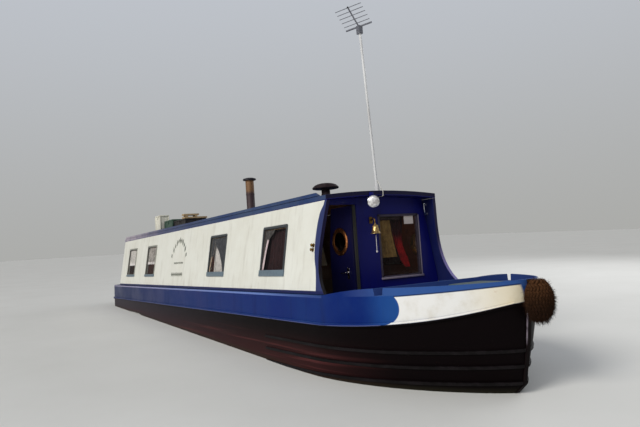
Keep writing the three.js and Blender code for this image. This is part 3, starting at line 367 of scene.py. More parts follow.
def placed_light(name, kind, place, target, power, colour):
    """A light at a place, turned towards a target."""
    data = bpy.data.lights.new(name, kind)
    data.energy = power
    data.color = colour
    light = bpy.data.objects.new(name, data)
    scene.collection.objects.link(light)
    light.location = place
    light.rotation_euler = (Vector(target) - Vector(place)).to_track_quat("-Z", "Y").to_euler()
    return data


key_light = placed_light("key_light", "SUN", (3, -13, 8), (0, 0, 0), 2.3, (1.0, 0.98, 0.94))
key_light.angle = math.radians(24)
for name, place, target, size, power, colour in (
    ("bow_light", (12, -9, 6.5), (4.5, 0, 1.2), (5, 3), 230, (0.93, 0.96, 1.0)),
    ("far_light", (2, 14, 9), (0, 0.5, 1.5), (14, 6), 700, (0.95, 0.97, 1.0)),
    ("cabin_light", (3.45, 0.1, 2.16), (3.6, 0.3, 0.7), (0.5, 0.5), 2.5, (1.0, 0.84, 0.66)),
    ("doorway_light", (3.62, -0.76, 1.70), (3.55, -0.30, 1.60), (0.3, 0.5), 0.9, (1.0, 0.84, 0.72)),
    ("rear_cabin_light", (-3.7, 0, 2.14), (-3.7, 0.4, 0.7), (2.4, 0.4), 16, (1.0, 0.88, 0.76)),
):
    soft_light = placed_light(name, "AREA", place, target, power, colour)
    soft_light.shape = "RECTANGLE"
    soft_light.size, soft_light.size_y = size


# Hull skin: welded steel plates, painted blue above the rubbing strake and black with bitumen below
# it, with a bare pale panel on each bow. Each plate is the CAD plate shaded smooth, so that the
# bow's curve shows no flats.
def new_group(name, inputs, outputs):
    """A shader node group, with its sockets given as (title, kind) or (title, kind, value)."""
    group = bpy.data.node_groups.new(name, "ShaderNodeTree")
    for title, kind, *value in inputs:
        socket = group.interface.new_socket(title, in_out="INPUT", socket_type="NodeSocket" + kind)
        if value:
            socket.default_value = value[0]
    for title, kind in outputs:
        group.interface.new_socket(title, in_out="OUTPUT", socket_type="NodeSocket" + kind)
    given = Outputs(group.nodes.new("NodeGroupInput"))
    return group, given, group.nodes.new("NodeGroupOutput").inputs


def make_worn_paint():
    """Brushed paint that has faded in clouds, with runs of grime down it, chips and brush marks."""
    inputs = [
        ("Place", "Vector"), ("Paint", "Color"), ("Faded", "Color"), ("Grime", "Color"),
        ("Fading", "Float", 0.5), ("Dirt", "Float", 0.4), ("Chips", "Float", 0.2)]
    outputs = [("Color", "Color"), ("Roughness", "Float"), ("Height", "Float")]
    group, given, made = new_group("worn_paint", inputs, outputs)
    place = given["Place"]
    cloud = between(speckle(place, 1.7, 5.0, 0.62), 0.32, 0.72)
    runs = between(speckle(place, 9, 4.0, 0.6, (1, 1, 0.09)), 0.48, 0.78)
    spots = between(speckle(place, 34, 4.0, 0.7), 0.66, 0.74)
    brush = speckle(place, 130, 2.0, 0.5, (0.12, 1, 1))
    colour = mix(cloud * given["Fading"], given["Paint"], given["Faded"])
    dirt = calc("MULTIPLY", runs + cloud * 0.35, given["Dirt"], clamp=True)
    chipped = spots * given["Chips"]
    fill(made["Color"], mix(chipped, mix(dirt, colour, given["Grime"]), rgb(62, 44, 38)))
    fill(made["Roughness"], cloud * 0.16 + 0.3 + dirt * 0.3)
    fill(made["Height"], brush * 0.35 - chipped * 0.8)
    return group


def make_rust():
    """How much rust has come through a steel surface: blooms of it, drawn out along the boat."""
    inputs = [("Place", "Vector"), ("Amount", "Float", 0.5)]
    group, given, made = new_group("rust", inputs, [("Rust", "Float"), ("Color", "Color")])
    bloom = speckle(given["Place"], 6.5, 6.0, 0.68, (0.28, 1, 1.4))
    fine = speckle(given["Place"], 60, 4.0, 0.7)
    low = 0.78 - given["Amount"] * 0.42
    fill(made["Rust"], between(bloom * 0.72 + fine * 0.28, low, low + 0.12))
    fill(made["Color"], mix(fine, rgb(66, 34, 24), rgb(134, 78, 46)))
    return group


worn_paint = make_worn_paint()
rust = make_rust()


def painted(place, paint, faded, grime, fading=0.5, dirt=0.4, chips=0.2):
    """Worn paint on a place, as its colour, roughness and height."""
    values = {"Place": place, "Paint": paint, "Faded": faded, "Grime": grime, "Fading": fading, "Dirt": dirt}
    return put(place, "Group", {**values, "Chips": chips}, node_tree=worn_paint)


def rusted(place, amount):
    """Rust on a place: how much there is, and its colour."""
    return put(place, "Group", {"Place": place, "Amount": amount}, node_tree=rust)


def face_normal(tree):
    """The way that a face looks, as three numbers."""
    return put(tree, "SeparateXYZ", {0: put(tree, "TexCoord")["Normal"]})


BLUE = rgb(10, 34, 100)
BLUE_FADED = rgb(30, 58, 118)
BLUE_GRIME = rgb(30, 30, 46)
CREAM = rgb(222, 222, 213)
CREAM_FADED = rgb(214, 212, 200)
CREAM_GRIME = rgb(156, 148, 132)
HULL_BLACK = rgb(6, 3, 4)
STRAKE_LINE = rgb(72, 80, 122)
STRAKE_LINE_HALF = 0.0035
STRAKE_LINE_END = 0.955
GUNWALE_LINE = 1.138

STRAKE_LEVEL = {"turn": 0.120, "stem": 1.912, "z": 0.868, "rise": 0.200, "late": 0.7}
DECK_LEVEL = {"turn": 0.200, "stem": 1.930, "z": 1.160, "rise": 0.046, "late": 0.5}


def level_height(x, level):
    """The height of one of the hull's long lines, which rises towards the stem."""
    reach = level["stem"] - level["turn"]
    share = calc("DIVIDE", x - (ROOF_FRONT + level["turn"]), reach, clamp=True)
    early = share * (level["rise"] * (1 - level["late"]))
    late = share ** 4 * (level["rise"] * level["late"])
    return early + late + level["z"]


def step_at(value, edge, blur=0.003):
    """0 below the edge, 1 above it."""
    return between(value - edge, -blur, blur, "LINEAR")


PANEL_NOTCH = {"x": 0.975, "z": 1.060, "radius": 0.158}
PANEL_REAR = 0.990
PANEL_FRONT = 1.912


def bow_panel(x, z, strake, deck, outside):
    """The pale panel between the strake and the deck line, with a round bite of blue at its rear end."""
    from_notch = put(x, "CombineXYZ", {0: x - (ROOF_FRONT + PANEL_NOTCH["x"]), 1: z - PANEL_NOTCH["z"]})
    distance = put(x, "VectorMath", {0: from_notch[0]}, operation="LENGTH")["Value"]
    top = deck + (x - (ROOF_FRONT + 1.590)) * 0.034
    inside = step_at(distance, PANEL_NOTCH["radius"]) * step_at(x, ROOF_FRONT + PANEL_REAR) * (
        1 - step_at(x, ROOF_FRONT + PANEL_FRONT)) * outside
    below_top = 1 - step_at(z, top)
    line = inside * (1 - below_top) * (1 - step_at(z, top + 0.01))
    return inside * step_at(z, strake) * below_top, line


def hull_material():
    material, shader, place, (x, y, z) = new_material("hull_paint")
    normal = face_normal(place)
    outward = normal[1] * calc("SIGN", y)
    outside = step_at(outward, 0.04, 0.02)
    upward = step_at(normal[2], 0.6, 0.1)
    strake = level_height(x, STRAKE_LEVEL)
    deck = level_height(x, DECK_LEVEL)

    paint = painted(place, BLUE, BLUE_FADED, BLUE_GRIME, 0.55, 0.3, 0.35)
    rusting = rusted(place, 0.2)
    # Painted highlight: faces that look upward are mixed halfway to a lighter blue, as light catches the tops.
    blue = mix(upward * 0.5, paint["Color"], rgb(74, 108, 168))
    blue = mix(rusting["Rust"] * 0.4, blue, rusting["Color"])
    # Painted reflection: the outer side of the hull turns lighter blue towards the bow panel, as the sky is
    # reflected there.
    painted_sky_reflection = between(x, ROOF_FRONT + 0.72, ROOF_FRONT + 1.08) * outside * 0.34
    blue = mix(painted_sky_reflection, blue, rgb(46, 104, 176))
    over_deck = step_at(z, deck - 0.004)
    above_panel = step_at(x, ROOF_FRONT + 0.62, 0.12) * over_deck * 0.22
    blue = mix(above_panel, blue, rgb(88, 110, 158))
    far_aft = 1 - between(x, ROOF_FRONT - 9.5, ROOF_FRONT - 0.5)
    blue = mix(far_aft * 0.75, blue, rgb(50, 54, 76))
    # Painted highlight: a pale band along the top of the hull side, stronger aft of the well and lilac-grey far
    # aft, stands in for the sky reflected off the gunwale.
    off_well = 1 - between(x, ROOF_FRONT - 1.6, ROOF_FRONT + 0.15)
    edge = step_at(z, GUNWALE_LINE) * outside * (0.25 + off_well) * 0.68
    edge = edge * (1 - step_at(x, ROOF_FRONT + 0.15))
    blue = mix(edge, blue, mix(far_aft, rgb(106, 130, 190), rgb(152, 146, 170)))

    panel, line = bow_panel(x, z, strake, deck, outside)
    soiled = speckle(place, 7, 5.0, 0.65)
    pale = mix(between(soiled, 0.4, 0.8), rgb(224, 223, 220), rgb(208, 204, 195))
    near_stem = between(x, ROOF_FRONT + 1.55, ROOF_FRONT + 1.94)
    stem_rust = rusted(place, near_stem * 0.6)
    pale = mix(near_stem * 0.5, pale, rgb(226, 204, 144))
    pale = mix(stem_rust["Rust"] * near_stem * 0.8, pale, rgb(176, 132, 92))
    upper = mix(panel, blue, pale)
    upper = mix(line * 0.75, upper, rgb(12, 16, 40))

    scuffs = speckle(place, 5, 6.0, 0.7, (0.22, 1, 3.2))
    water_light_streaks = between(speckle(place, 3.4, 5.0, 0.6, (0.1, 0.3, 6)), 0.5, 0.72)
    black = mix(scuffs, HULL_BLACK, rgb(10, 4, 5))
    black = mix(far_aft * 0.65, black, rgb(60, 54, 62))
    # Painted reflection: low on the black, fading out towards the stem, a reddish tint with lighter streaks
    # stands in for light thrown up from the water.
    off_bow = 1 - between(x, ROOF_FRONT - 0.4, ROOF_FRONT + 1.1)
    low_band = 1 - between(z, 0.42, 0.80)
    black = mix((water_light_streaks + 0.35) * low_band * off_bow * 0.7, black, rgb(92, 48, 48))
    low_rust = rusted(place, 0.32)
    black = mix(low_rust["Rust"] * 0.4, black, low_rust["Color"])
    # A wet olive band just above the waterline.
    flat = (WATERLINE_FORE.x - x) / (WATERLINE_FORE.x - WATERLINE_AFT.x)
    water = flat * (WATERLINE_AFT.z - WATERLINE_FORE.z) + WATERLINE_FORE.z
    low_tint = 1 - between(z - water, 0.0, 0.075)
    black = mix(low_tint * 0.6, black, rgb(40, 38, 28))

    above = step_at(z, strake)
    downward = step_at(normal[2] * -1, 0.6, 0.1)
    turned_out = calc("MAXIMUM", outside * (1 - upward), downward)
    inner = calc("MAXIMUM", above, 1 - turned_out)
    colour = mix(inner, black, upper)
    # A pale line scraped along the top of the rubbing strake, worn away in places.
    from_strake = abs(z - strake)
    pale_line = 1 - between(from_strake, STRAKE_LINE_HALF, STRAKE_LINE_HALF + 0.002)
    pale_line = pale_line * outside * (1 - step_at(x, ROOF_FRONT + STRAKE_LINE_END))
    worn_away = between(speckle(place, 12, 4.0, 0.6, (0.3, 1, 1)), 0.3, 0.5)
    colour = mix(pale_line * worn_away, colour, STRAKE_LINE)
    hold = (1 - step_at(x, ROOF_FRONT - 0.19)) * (1 - upward) * (1 - outside)
    colour = mix(hold, colour, rgb(96, 90, 84))
    boards = between(speckle(place, 3, 4.0, 0.6, (0.15, 4, 1)), 0.3, 0.7)
    well_floor = upward * (1 - step_at(z, 0.66)) * step_at(x, ROOF_FRONT - 0.21)
    colour = mix(well_floor, colour, mix(boards, rgb(70, 58, 48), rgb(112, 92, 72)))
    feed(shader, Base_Color=colour)
    rough = inner * (paint["Roughness"] - 0.5) + 0.5
    feed(shader, Roughness=rough + low_rust["Rust"] * 0.2)
    dents = speckle(place, 2.2, 2.0, 0.5, (0.6, 1, 1))
    fine = scuffs * 0.4 + paint["Height"] * 0.2
    height = dents * 3.0 + fine
    feed(shader, Normal=bump(height, 0.5, 0.004), Specular_IOR_Level=0.045)
    return material


def copy_of(node):
    """The node's mesh with its doubled corners merged."""
    bm = bmesh.new()
    bm.from_mesh(cad_nodes[node].data)
    bmesh.ops.remove_doubles(bm, verts=bm.verts[:], dist=2e-5)
    return bm


def sharp_edges(bm, degrees):
    return [e for e in bm.edges if len(e.link_faces) == 2 and e.calc_face_angle(0) > math.radians(degrees)]


def bevel(bm, geometry, width, affect="EDGES", segments=2, loop_slide=False):
    bmesh.ops.bevel(
        bm, geom=geometry, offset=width, offset_type="OFFSET", affect=affect, segments=segments, profile=0.5,
        material=-1, clamp_overlap=True, loop_slide=loop_slide)


def round_edges(bm, width):
    """Joins the flat faces and rounds the edges between them."""
    bmesh.ops.dissolve_limit(bm, angle_limit=math.radians(0.4), verts=bm.verts[:], edges=bm.edges[:])
    bevel(bm, sharp_edges(bm, 40), width, loop_slide=True)


def skin(node, material, slot, body="hull", smooth=30, edge=None):
    """A smooth copy of a node, with rounded edges where a width is given, that stands for it."""
    bm = copy_of(node)
    if edge:
        round_edges(bm, edge)
    piece = finished(node + "_finished", bm, material, slot, node, body=body, smooth=smooth)
    if edge:
        piece.modifiers.new("flat_faces", "WEIGHTED_NORMAL").keep_sharp = True
    return piece


hull_paint = hull_material()
for node in ("bow_hull", "side_plate_starboard", "side_plate_port", "stern_hull"):
    skin(node, hull_paint, "hull_steel")
for node in ("rubbing_strake_starboard", "rubbing_strake_port"):
    skin(node, hull_paint, "hull_steel", edge=0.004)


# Baseplate and stem post: thick plate and bar in black, scraped in places along locks and quays, and rusty in
# others. The post's starboard corner is pale grey under the fender.
def worn_bar_material(name, dark, bright, brightness, rustiness=0.75):
    material, shader, place, _ = new_material(name)
    rusting = rusted(place, rustiness)
    rub = between(speckle(place, 16, 5.0, 0.7, (0.25, 1, 1)), 0.42, 0.66)
    colour = mix(rusting["Rust"] * 0.7, dark, rusting["Color"])
    rub = rub * brightness
    feed(shader, Base_Color=mix(rub, colour, bright), Metallic=rub * 0.5)
    feed(shader, Roughness=0.55, Normal=bump(rusting["Rust"], 0.4, 0.001), Specular_IOR_Level=0.12)
    return material


def stem_material():
    material, shader, place, (_, y, z) = new_material("stem_steel")
    scrapes = between(speckle(place, 30, 5.0, 0.7, (1, 1, 0.3)), 0.35, 0.6)
    corner = 1 - step_at(y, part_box("stem_post")[0].y + 0.005)
    # A pale grey streak up the starboard corner, between two heights, broken by a noise.
    pale_corner = corner * between(z, 0.68, 0.74) * (1 - between(z, 1.00, 1.06)) * scrapes
    dark = mix(speckle(place, 9, 5.0, 0.65), rgb(7, 4, 5), rgb(26, 17, 18))
    feed(shader, Base_Color=mix(pale_corner, dark, rgb(128, 118, 128)), Roughness=0.6, Specular_IOR_Level=0.05)
    feed(shader, Normal=bump(scrapes, 0.3, 0.001))
    return material


skin("stem_post", stem_material(), "hull_steel", edge=0.004)
base_steel = worn_bar_material("base_steel", rgb(9, 6, 7), rgb(44, 38, 42), 0.3, 0.3)
cad_nodes["baseplate"].material_slots[0].material = base_steel

# Guard bars: three half-round bars welded round the bow under the strake. Each is a strip of the bow's own
# plating, cut out between two heights and thickened outwards.
GUARD_HEIGHTS = (0.650, 0.510, 0.360)
GUARD_WIDTH = 0.028
GUARD_DEPTH = 0.014
GUARD_REAR = ROOF_FRONT - 1.15
for number, height in enumerate(GUARD_HEIGHTS, 1):
    bm = copy_of("bow_hull")
    for level, away in ((height - GUARD_WIDTH / 2, -1), (height + GUARD_WIDTH / 2, 1)):
        geometry = bm.verts[:] + bm.edges[:] + bm.faces[:]
        bmesh.ops.bisect_plane(
            bm, geom=geometry, plane_co=(0, 0, level), plane_no=(0, 0, away), clear_outer=True, dist=1e-6)
    bm.normal_update()
    unwanted = [
        f for f in bm.faces
        if f.normal.y * f.calc_center_median().y <= 0.001 or abs(f.normal.z) > 0.8
        or f.calc_center_median().x < GUARD_REAR or abs(f.calc_center_median().y) < 0.02
    ]
    bmesh.ops.delete(bm, geom=unwanted, context="FACES")
    for vertex in bm.verts:
        vertex.co.y += math.copysign(0.0004, vertex.co.y)
    bmesh.ops.solidify(bm, geom=bm.faces[:], thickness=-GUARD_DEPTH)
    bmesh.ops.recalc_face_normals(bm, faces=bm.faces[:])
    finished(f"guard_bar_{number}", bm, base_steel, "hull_steel", smooth=50)


# Foredeck locker lid: a loose steel plate in faded green-grey paint, on a hinge at its rear edge. It closes the
# locker under the foredeck and rests on a seat round the opening.
def paint_material(name, paint, faded, grime, fading=0.5, dirt=0.4, chips=0.2, inside=None):
    """Worn paint. Inside, where it is given, says of an x whether wood lining takes the paint's place."""
    material, shader, place, (x, _, _) = new_material(name)
    made = painted(place, paint, faded, grime, fading, dirt, chips)
    colour, rough = made["Color"], made["Roughness"]
    if inside:
        share = inside(x)
        colour = mix(
            share, colour, mix(speckle(place, 12, 5.0, 0.65, (0.06, 1, 3)), LINING_DARK, rgb(92, 54, 34)))
        rough = rough + share * 0.2
    feed(shader, Base_Color=colour, Roughness=rough, Specular_IOR_Level=0.25)
    feed(shader, Normal=bump(made["Height"], 0.35, 0.002))
    return material


LINING_DARK = rgb(52, 26, 18)
lid_paint = paint_material("lid_paint", rgb(62, 84, 88), rgb(96, 112, 104), rgb(52, 48, 40), 0.7, 0.6, 0.8)
skin("locker_lid", lid_paint, "blue_paint", body="locker_lid", edge=0.003)


# Bow fender: a button of old coir rope. Round its core run rows of plaited strands, and their frayed
# fibres stand off everywhere.
def coir_material():
    material, shader, place, (_, _, z) = new_material("coir")
    tone = speckle(place, 14, 4.0, 0.6)
    fibre = speckle(place, 420, 3.0, 0.7, (1, 1, 0.25))
    # Darker towards the bottom of the fender.
    low_tint = 1 - between(z, 0.98, 1.26)
    colour = mix(tone, rgb(30, 14, 8), rgb(74, 44, 26))
    colour = mix(fibre * 0.5, colour, rgb(104, 72, 42))
    colour = mix(low_tint * 0.75, colour, rgb(18, 8, 6))
    feed(shader, Base_Color=colour, Roughness=0.95, Specular_IOR_Level=0.1, Normal=bump(fibre, 0.8, 0.002))
    return material


coir = coir_material()


def rope_button(name, node, facing, reach, rows, stitches, rope, fibres, fibre_length, seed):
    """Stitches of rope, laid in slanting rows over a fender's rounded body, with fibres between them. The
    body is widest at its reach from the end that faces away from the boat, and ends flat behind that."""
    low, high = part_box(node)
    middle = (low + high) / 2
    half = (high - low) / 2
    root_x = high.x - reach if facing > 0 else low.x + reach
    behind = max(0.0, root_x - low.x if facing > 0 else 0.0)
    root = Vector((root_x, middle.y, middle.z))
    bm = copy_of(node)
    bmesh.ops.scale(bm, verts=bm.verts[:], vec=(0.9, 0.9, 0.9), space=Matrix.Translation(-root))
    rng = random.Random(seed)

    def over(lift, turn, shrink=1.0):
        """A point on the fender: lift from -1 to 1 up its height, turn from -1 to 1 round its front."""
        ring = math.sqrt(max(0.0, 1 - lift * lift))
        angle = turn * math.acos(max(-1.0, -behind / (reach * max(ring, 0.05))))
        return Vector((
            root_x + facing * reach * ring * math.cos(angle) * shrink,
            middle.y + half.y * ring * math.sin(angle) * shrink,
            middle.z + half.z * lift * shrink,
        ))

    for row in range(rows):
        lift = -0.94 + 1.88 * (row + 0.5) / rows
        count = max(4, round(stitches * math.sqrt(1 - lift * lift)))
        slant = 0.9 if row % 2 else -0.9
        for i in range(count):
            turn = -0.96 + 1.92 * (i + 0.5) / count
            path = []
            for k in range(5):
                along = k / 4 - 0.5
                lifted = max(-0.99, min(0.99, lift + along * 2.5 / rows))
                swell = 0.955 - 0.075 * (2 * along) ** 2
                path.append(over(lifted, turn + along * slant * 1.6 / count, swell))
            sweep(bm, path, [rope * f for f in (0.55, 0.95, 1.0, 0.95, 0.55)], 6)
    finished(name, bm, coir, "rope", node, smooth=60)

    bm = bmesh.new()
    for _ in range(fibres):
        start = over(rng.uniform(-0.97, 0.97), rng.uniform(-0.97, 0.97), 0.93)
        out = (start - root).normalized()
        side = Vector((rng.uniform(-1, 1), rng.uniform(-1, 1), rng.uniform(-1.6, 0.2)))
        length = rng.uniform(0.4, 1.0) * fibre_length
        tip = start + out * length * 0.55 + side * length * 0.45
        bend = start.lerp(tip, 0.5) + out * length * 0.12
        sweep(bm, [start, bend, tip], [0.0011, 0.0009, 0.0003], 3, closed_ends=False)
    finished(name + "_fibres", bm, coir, "rope", smooth=180)


rope_button("bow_fender_rope", "bow_fender", 1, 0.115, 12, 20, 0.0115, 4200, 0.050, 4)


# Cabin sides: steel plate in cream, with a blue foot darkened by painted shade, a blue border along the curved
# front wing, and wood lining inside. The wing's front edge carries painted shade on starboard and a painted
# highlight on port. The border's rear edge is a curve that follows the wing: (height over the foot, how far it
# lies behind the roof's front edge).
CABIN_FOOT = 1.2
LINING_FRONT = ROOF_FRONT - 0.235
BORDER_REACH = 0.2
WING_BORDER = [
    (0.0, -0.074), (0.2, -0.106), (0.36, -0.157), (0.489, -0.170), (0.65, -0.162), (0.816, -0.125),
    (0.926, -0.054), (1.0, -0.030)]


def cabin_side_material():
    material, shader, place, (x, y, z) = new_material("cabin_side_paint")
    cream = painted(place, CREAM, CREAM_FADED, CREAM_GRIME, 0.5, 0.26, 0.12)
    # This blue, for the foot, the wing border and the inside faces, is darker than the paint: painted shade on
    # the foot.
    blue = painted(place, rgb(18, 24, 76), rgb(34, 46, 100), BLUE_GRIME, 0.35)
    curve = put(z, "FloatCurve", {"Value": z - CABIN_FOOT})
    points = curve.node.mapping.curves[0].points
    for up, border in WING_BORDER[1:-1]:
        points.new(up, border / BORDER_REACH + 1)
    for i, (up, border) in ((0, WING_BORDER[0]), (len(points) - 1, WING_BORDER[-1])):
        points[i].location = (up, border / BORDER_REACH + 1)
    curve.node.mapping.update()
    border = curve[0] * BORDER_REACH + (ROOF_FRONT - BORDER_REACH)
    wing = step_at(x, border)
    foot = 1 - step_at(z, CABIN_FOOT)
    normal = face_normal(place)
    inward = 1 - step_at(normal[1] * calc("SIGN", y), 0.4, 0.1)
    share = calc("MAXIMUM", wing, foot)
    border_blue = mix(wing * (1 - foot) * 0.55, blue["Color"], rgb(54, 64, 108))
    colour = mix(share, cream["Color"], border_blue)
    drips = between(speckle(place, 15, 4.0, 0.65, (1, 1, 0.05)), 0.55, 0.75)
    low = 1 - between(z, CABIN_FOOT, 1.45)
    colour = mix(drips * low * (1 - share) * 0.5, colour, rgb(146, 122, 96))
    grain = speckle(place, 10, 5.0, 0.65, (0.06, 1, 3))
    behind = inward * (1 - step_at(x, LINING_FRONT))
    colour = mix(inward, colour, blue["Color"])
    colour = mix(behind, colour, mix(grain, LINING_DARK, rgb(88, 52, 34)))
    # The wing's front edge: on starboard painted shade, dark blue high up and nearly black low down; on port a
    # painted highlight, pale lilac low down and dark blue higher up.
    edge = step_at(normal[0], 0.5, 0.1) * step_at(x, LINING_FRONT)
    low_down = 1 - between(z, 1.35, 1.75)
    shaded = mix(low_down, rgb(22, 16, 54), rgb(14, 6, 12))
    pale_line = mix(low_down, rgb(20, 16, 60), rgb(120, 112, 164))
    colour = mix(edge, colour, mix(step_at(y, 0), shaded, pale_line))
    feed(shader, Base_Color=colour, Roughness=cream["Roughness"], Specular_IOR_Level=0.25)
    feed(shader, Normal=bump(cream["Height"], 0.3, 0.002))
    return material


side_paint = cabin_side_material()
for node in ("cabin_side_starboard", "cabin_side_port"):
    skin(node, side_paint, "cream_paint", edge=0.003)

# Things on a cabin side are drawn flat: u runs forward, v up the sloping side from its foot and w out of it.
SIDES = {-1: "starboard", 1: "port"}
SIDE_LEAN = 0.1765
SIDE_SLOPE = math.atan(SIDE_LEAN)
SIDE_FOOT = 1.16755
SIDE_FOOT_HALF = 0.94573


def on_side(bm, side):
    """Stands what was drawn flat up against the cabin side, -1 for starboard and 1 for port."""
    turn = Matrix((
        (1, 0, 0, ROOF_FRONT),
        (0, -side * math.sin(SIDE_SLOPE), side * math.cos(SIDE_SLOPE), side * SIDE_FOOT_HALF),
        (0, math.cos(SIDE_SLOPE), math.sin(SIDE_SLOPE), SIDE_FOOT),
        (0, 0, 0, 1),
    ))
    bmesh.ops.transform(bm, matrix=turn, verts=bm.verts[:])
    if side > 0:
        bmesh.ops.reverse_faces(bm, faces=bm.faces[:])
    return bm


def up_side(z):
    """How far up the sloping side a height lies, from its foot."""
    return (z - SIDE_FOOT) / math.cos(SIDE_SLOPE)


# Side ornament: an arc of small painted lozenges over two plain bars, one on each side of the cabin, in the
# place of a painted sign.
def lozenge(bm, u, v, width, height, turn=0.0):
    made = bmesh.ops.create_circle(bm, cap_ends=True, segments=4, radius=0.5)["verts"]
    bmesh.ops.scale(bm, verts=made, vec=(width, height, 1))
    bmesh.ops.rotate(bm, verts=made, cent=(0, 0, 0), matrix=Matrix.Rotation(turn, 3, "Z"))
    bmesh.ops.translate(bm, verts=made, vec=(u, v, 0.0012))


ornament_paint = paint_material(
    "ornament_paint", rgb(104, 108, 98), rgb(138, 140, 128), rgb(96, 90, 80), 0.5, 0.3, 0.4)
ARC = [(-5.303, 0.523), (-4.930, 0.783), (-4.514, 0.516)]
ARC_LOZENGES = 11
BAR_LOZENGES = 9
BARS = [(-5.134, -4.626, 0.389, 0.042), (-5.231, -4.608, 0.192, 0.080)]
for side, end in SIDES.items():
    bm = bmesh.new()
    for i in range(ARC_LOZENGES):
        t = i / (ARC_LOZENGES - 1)
        u = ARC[0][0] + (ARC[2][0] - ARC[0][0]) * t
        v = up_side(CABIN_FOOT + ARC[0][1] + (ARC[1][1] - ARC[0][1]) * math.sin(math.pi * t) ** 0.8)
        lozenge(bm, u, v, 0.072, 0.128 if i % 2 else 0.092, (0.5 - t) * 1.1)
    for rear, front, z, height in BARS:
        middle, length, v = (rear + front) / 2, front - rear, up_side(CABIN_FOOT + z)
        for k in range(BAR_LOZENGES):
            lozenge(bm, rear + length * (k + 0.5) / BAR_LOZENGES, v, length / BAR_LOZENGES * 1.05, height)
    bmesh.ops.solidify(bm, geom=bm.faces[:], thickness=0.0008)
    finished("side_ornament_" + end, on_side(bm, side), ornament_paint, "engine_metal")


# Brass fitting on each wing: two turned knobs on small round plates, one above the other. They are of solid
# brass, gone dull, and are fastened through the steel.
def brass_material(name, bright, dull, rough):
    return mottled_material(
        name, bright, dull, (22, 5.0, 0.65), (rough, 0.3), 1.0, (0.15, 0.0005), (260, 2.0, 0.5, (1, 1, 0.15)),
        spots=(0.42, 0.7))


brass = brass_material("brass", rgb(224, 192, 130), rgb(136, 98, 54), 0.28)
dark_brass = brass_material("dark_brass", rgb(176, 124, 80), rgb(84, 48, 30), 0.3)
old_brass = brass_material("old_brass", rgb(120, 92, 46), rgb(70, 52, 30), 0.42)


def spun(bm, profile, place=(0, 0, 0), axis=(0, 0, 1), steps=28, ring=False):
    """Turns a profile of (radius, height) pairs about an axis through the place."""
    own = bmesh.new()
    verts = [bmesh.ops.create_vert(own, co=(r, 0, h))["vert"][0] for r, h in profile]
    edges = [own.edges.new(pair) for pair in zip(verts, verts[1:] + (verts[:1] if ring else []))]
    bmesh.ops.spin(
        own, geom=verts + edges, cent=(0, 0, 0), axis=(0, 0, 1), dvec=(0, 0, 0), angle=2 * math.pi,
        steps=steps, use_merge=True, use_duplicate=False)
    bmesh.ops.remove_doubles(own, verts=own.verts[:], dist=1e-6)
    turn = Vector((0, 0, 1)).rotation_difference(Vector(axis)).to_matrix().to_4x4()
    bmesh.ops.transform(own, matrix=Matrix.Translation(place) @ turn, verts=own.verts[:])
    bmesh.ops.recalc_face_normals(own, faces=own.faces[:])
    gather(bm, own)


KNOB = [
    (0.024, 0.0005), (0.024, 0.004), (0.012, 0.007), (0.010, 0.018), (0.018, 0.024), (0.019, 0.032),
    (0.011, 0.038), (0, 0.040)]
for side, end in SIDES.items():
    bm = bmesh.new()
    for u, z, size in ((-0.198, 1.686, 0.96), (-0.203, 1.638, 0.92)):
        spun(bm, [(r * size, h * size) for r, h in KNOB], (u, up_side(z), 0.0003), steps=20)
    finished("brass_fitting_" + end, on_side(bm, side), old_brass, "brass")


# Side windows: each an aluminium frame of one rounded ring with a deeper sill, screwed to the side through its
# flange, a black rubber gasket, and a pane of slightly dirty glass.
def alloy_material(name, light, dark):
    return mottled_material(
        name, light, dark, (30, 5.0, 0.65), (0.34, 0.2), 0.6, (0.2, 0.0005), (300, 2.0, 0.5, (0.1, 1, 1)))


def glass_material(name, tint, reflection, haze):
    """Glass that shows what is behind it, darkened, and the sky over that at a low angle."""
    material, shader, place, _ = new_material(name)
    tree = material.node_tree
    tree.nodes.remove(shader)
    dirt = between(speckle(place, 9, 5.0, 0.65), 0.45, 0.8)
    clear = put(tree, "BsdfTransparent", {"Color": mix(dirt, tint, shade(tint, 0.8))})[0]
    gloss = put(tree, "BsdfGlossy", {"Color": rgb(220, 226, 232), "Roughness": 0.05})[0]
    film = put(tree, "BsdfDiffuse", {"Color": mix(dirt, rgb(60, 60, 62), rgb(120, 116, 108))})[0]
    front_face = 1 - put(tree, "NewGeometry")["Backfacing"]
    share = put(tree, "Fresnel", {"IOR": 1.5})[0] * front_face * reflection
    dusty = put(tree, "MixShader", {0: dirt * haze, 1: clear, 2: film})[0]
    both = put(tree, "MixShader", {0: share, 1: dusty, 2: gloss})[0]
    fill(tree.nodes["Material Output"].inputs["Surface"], both)
    return material


frame_alloy = alloy_material("frame_alloy", rgb(96, 100, 102), rgb(62, 66, 70))
pale_alloy = alloy_material("pale_alloy", rgb(188, 188, 176), rgb(140, 140, 132))
sill_alloy = alloy_material("sill_alloy", rgb(140, 158, 170), rgb(104, 120, 132))
reveal_paint = paint_material(
    "reveal_paint", rgb(150, 152, 142), rgb(166, 166, 156), rgb(130, 126, 114), 0.5, 0.3, 0.1)
rubber = mottled_material(
    "rubber", rgb(34, 34, 36), rgb(70, 70, 72), (70, 4.0, 0.6), 0.75, relief=(0.3, 0.0008))
side_glass = glass_material("side_glass", rgb(249, 247, 247), 0.55, 0.06)
dim_glass = glass_material("dim_glass", rgb(249, 244, 244), 0.28, 0.03)


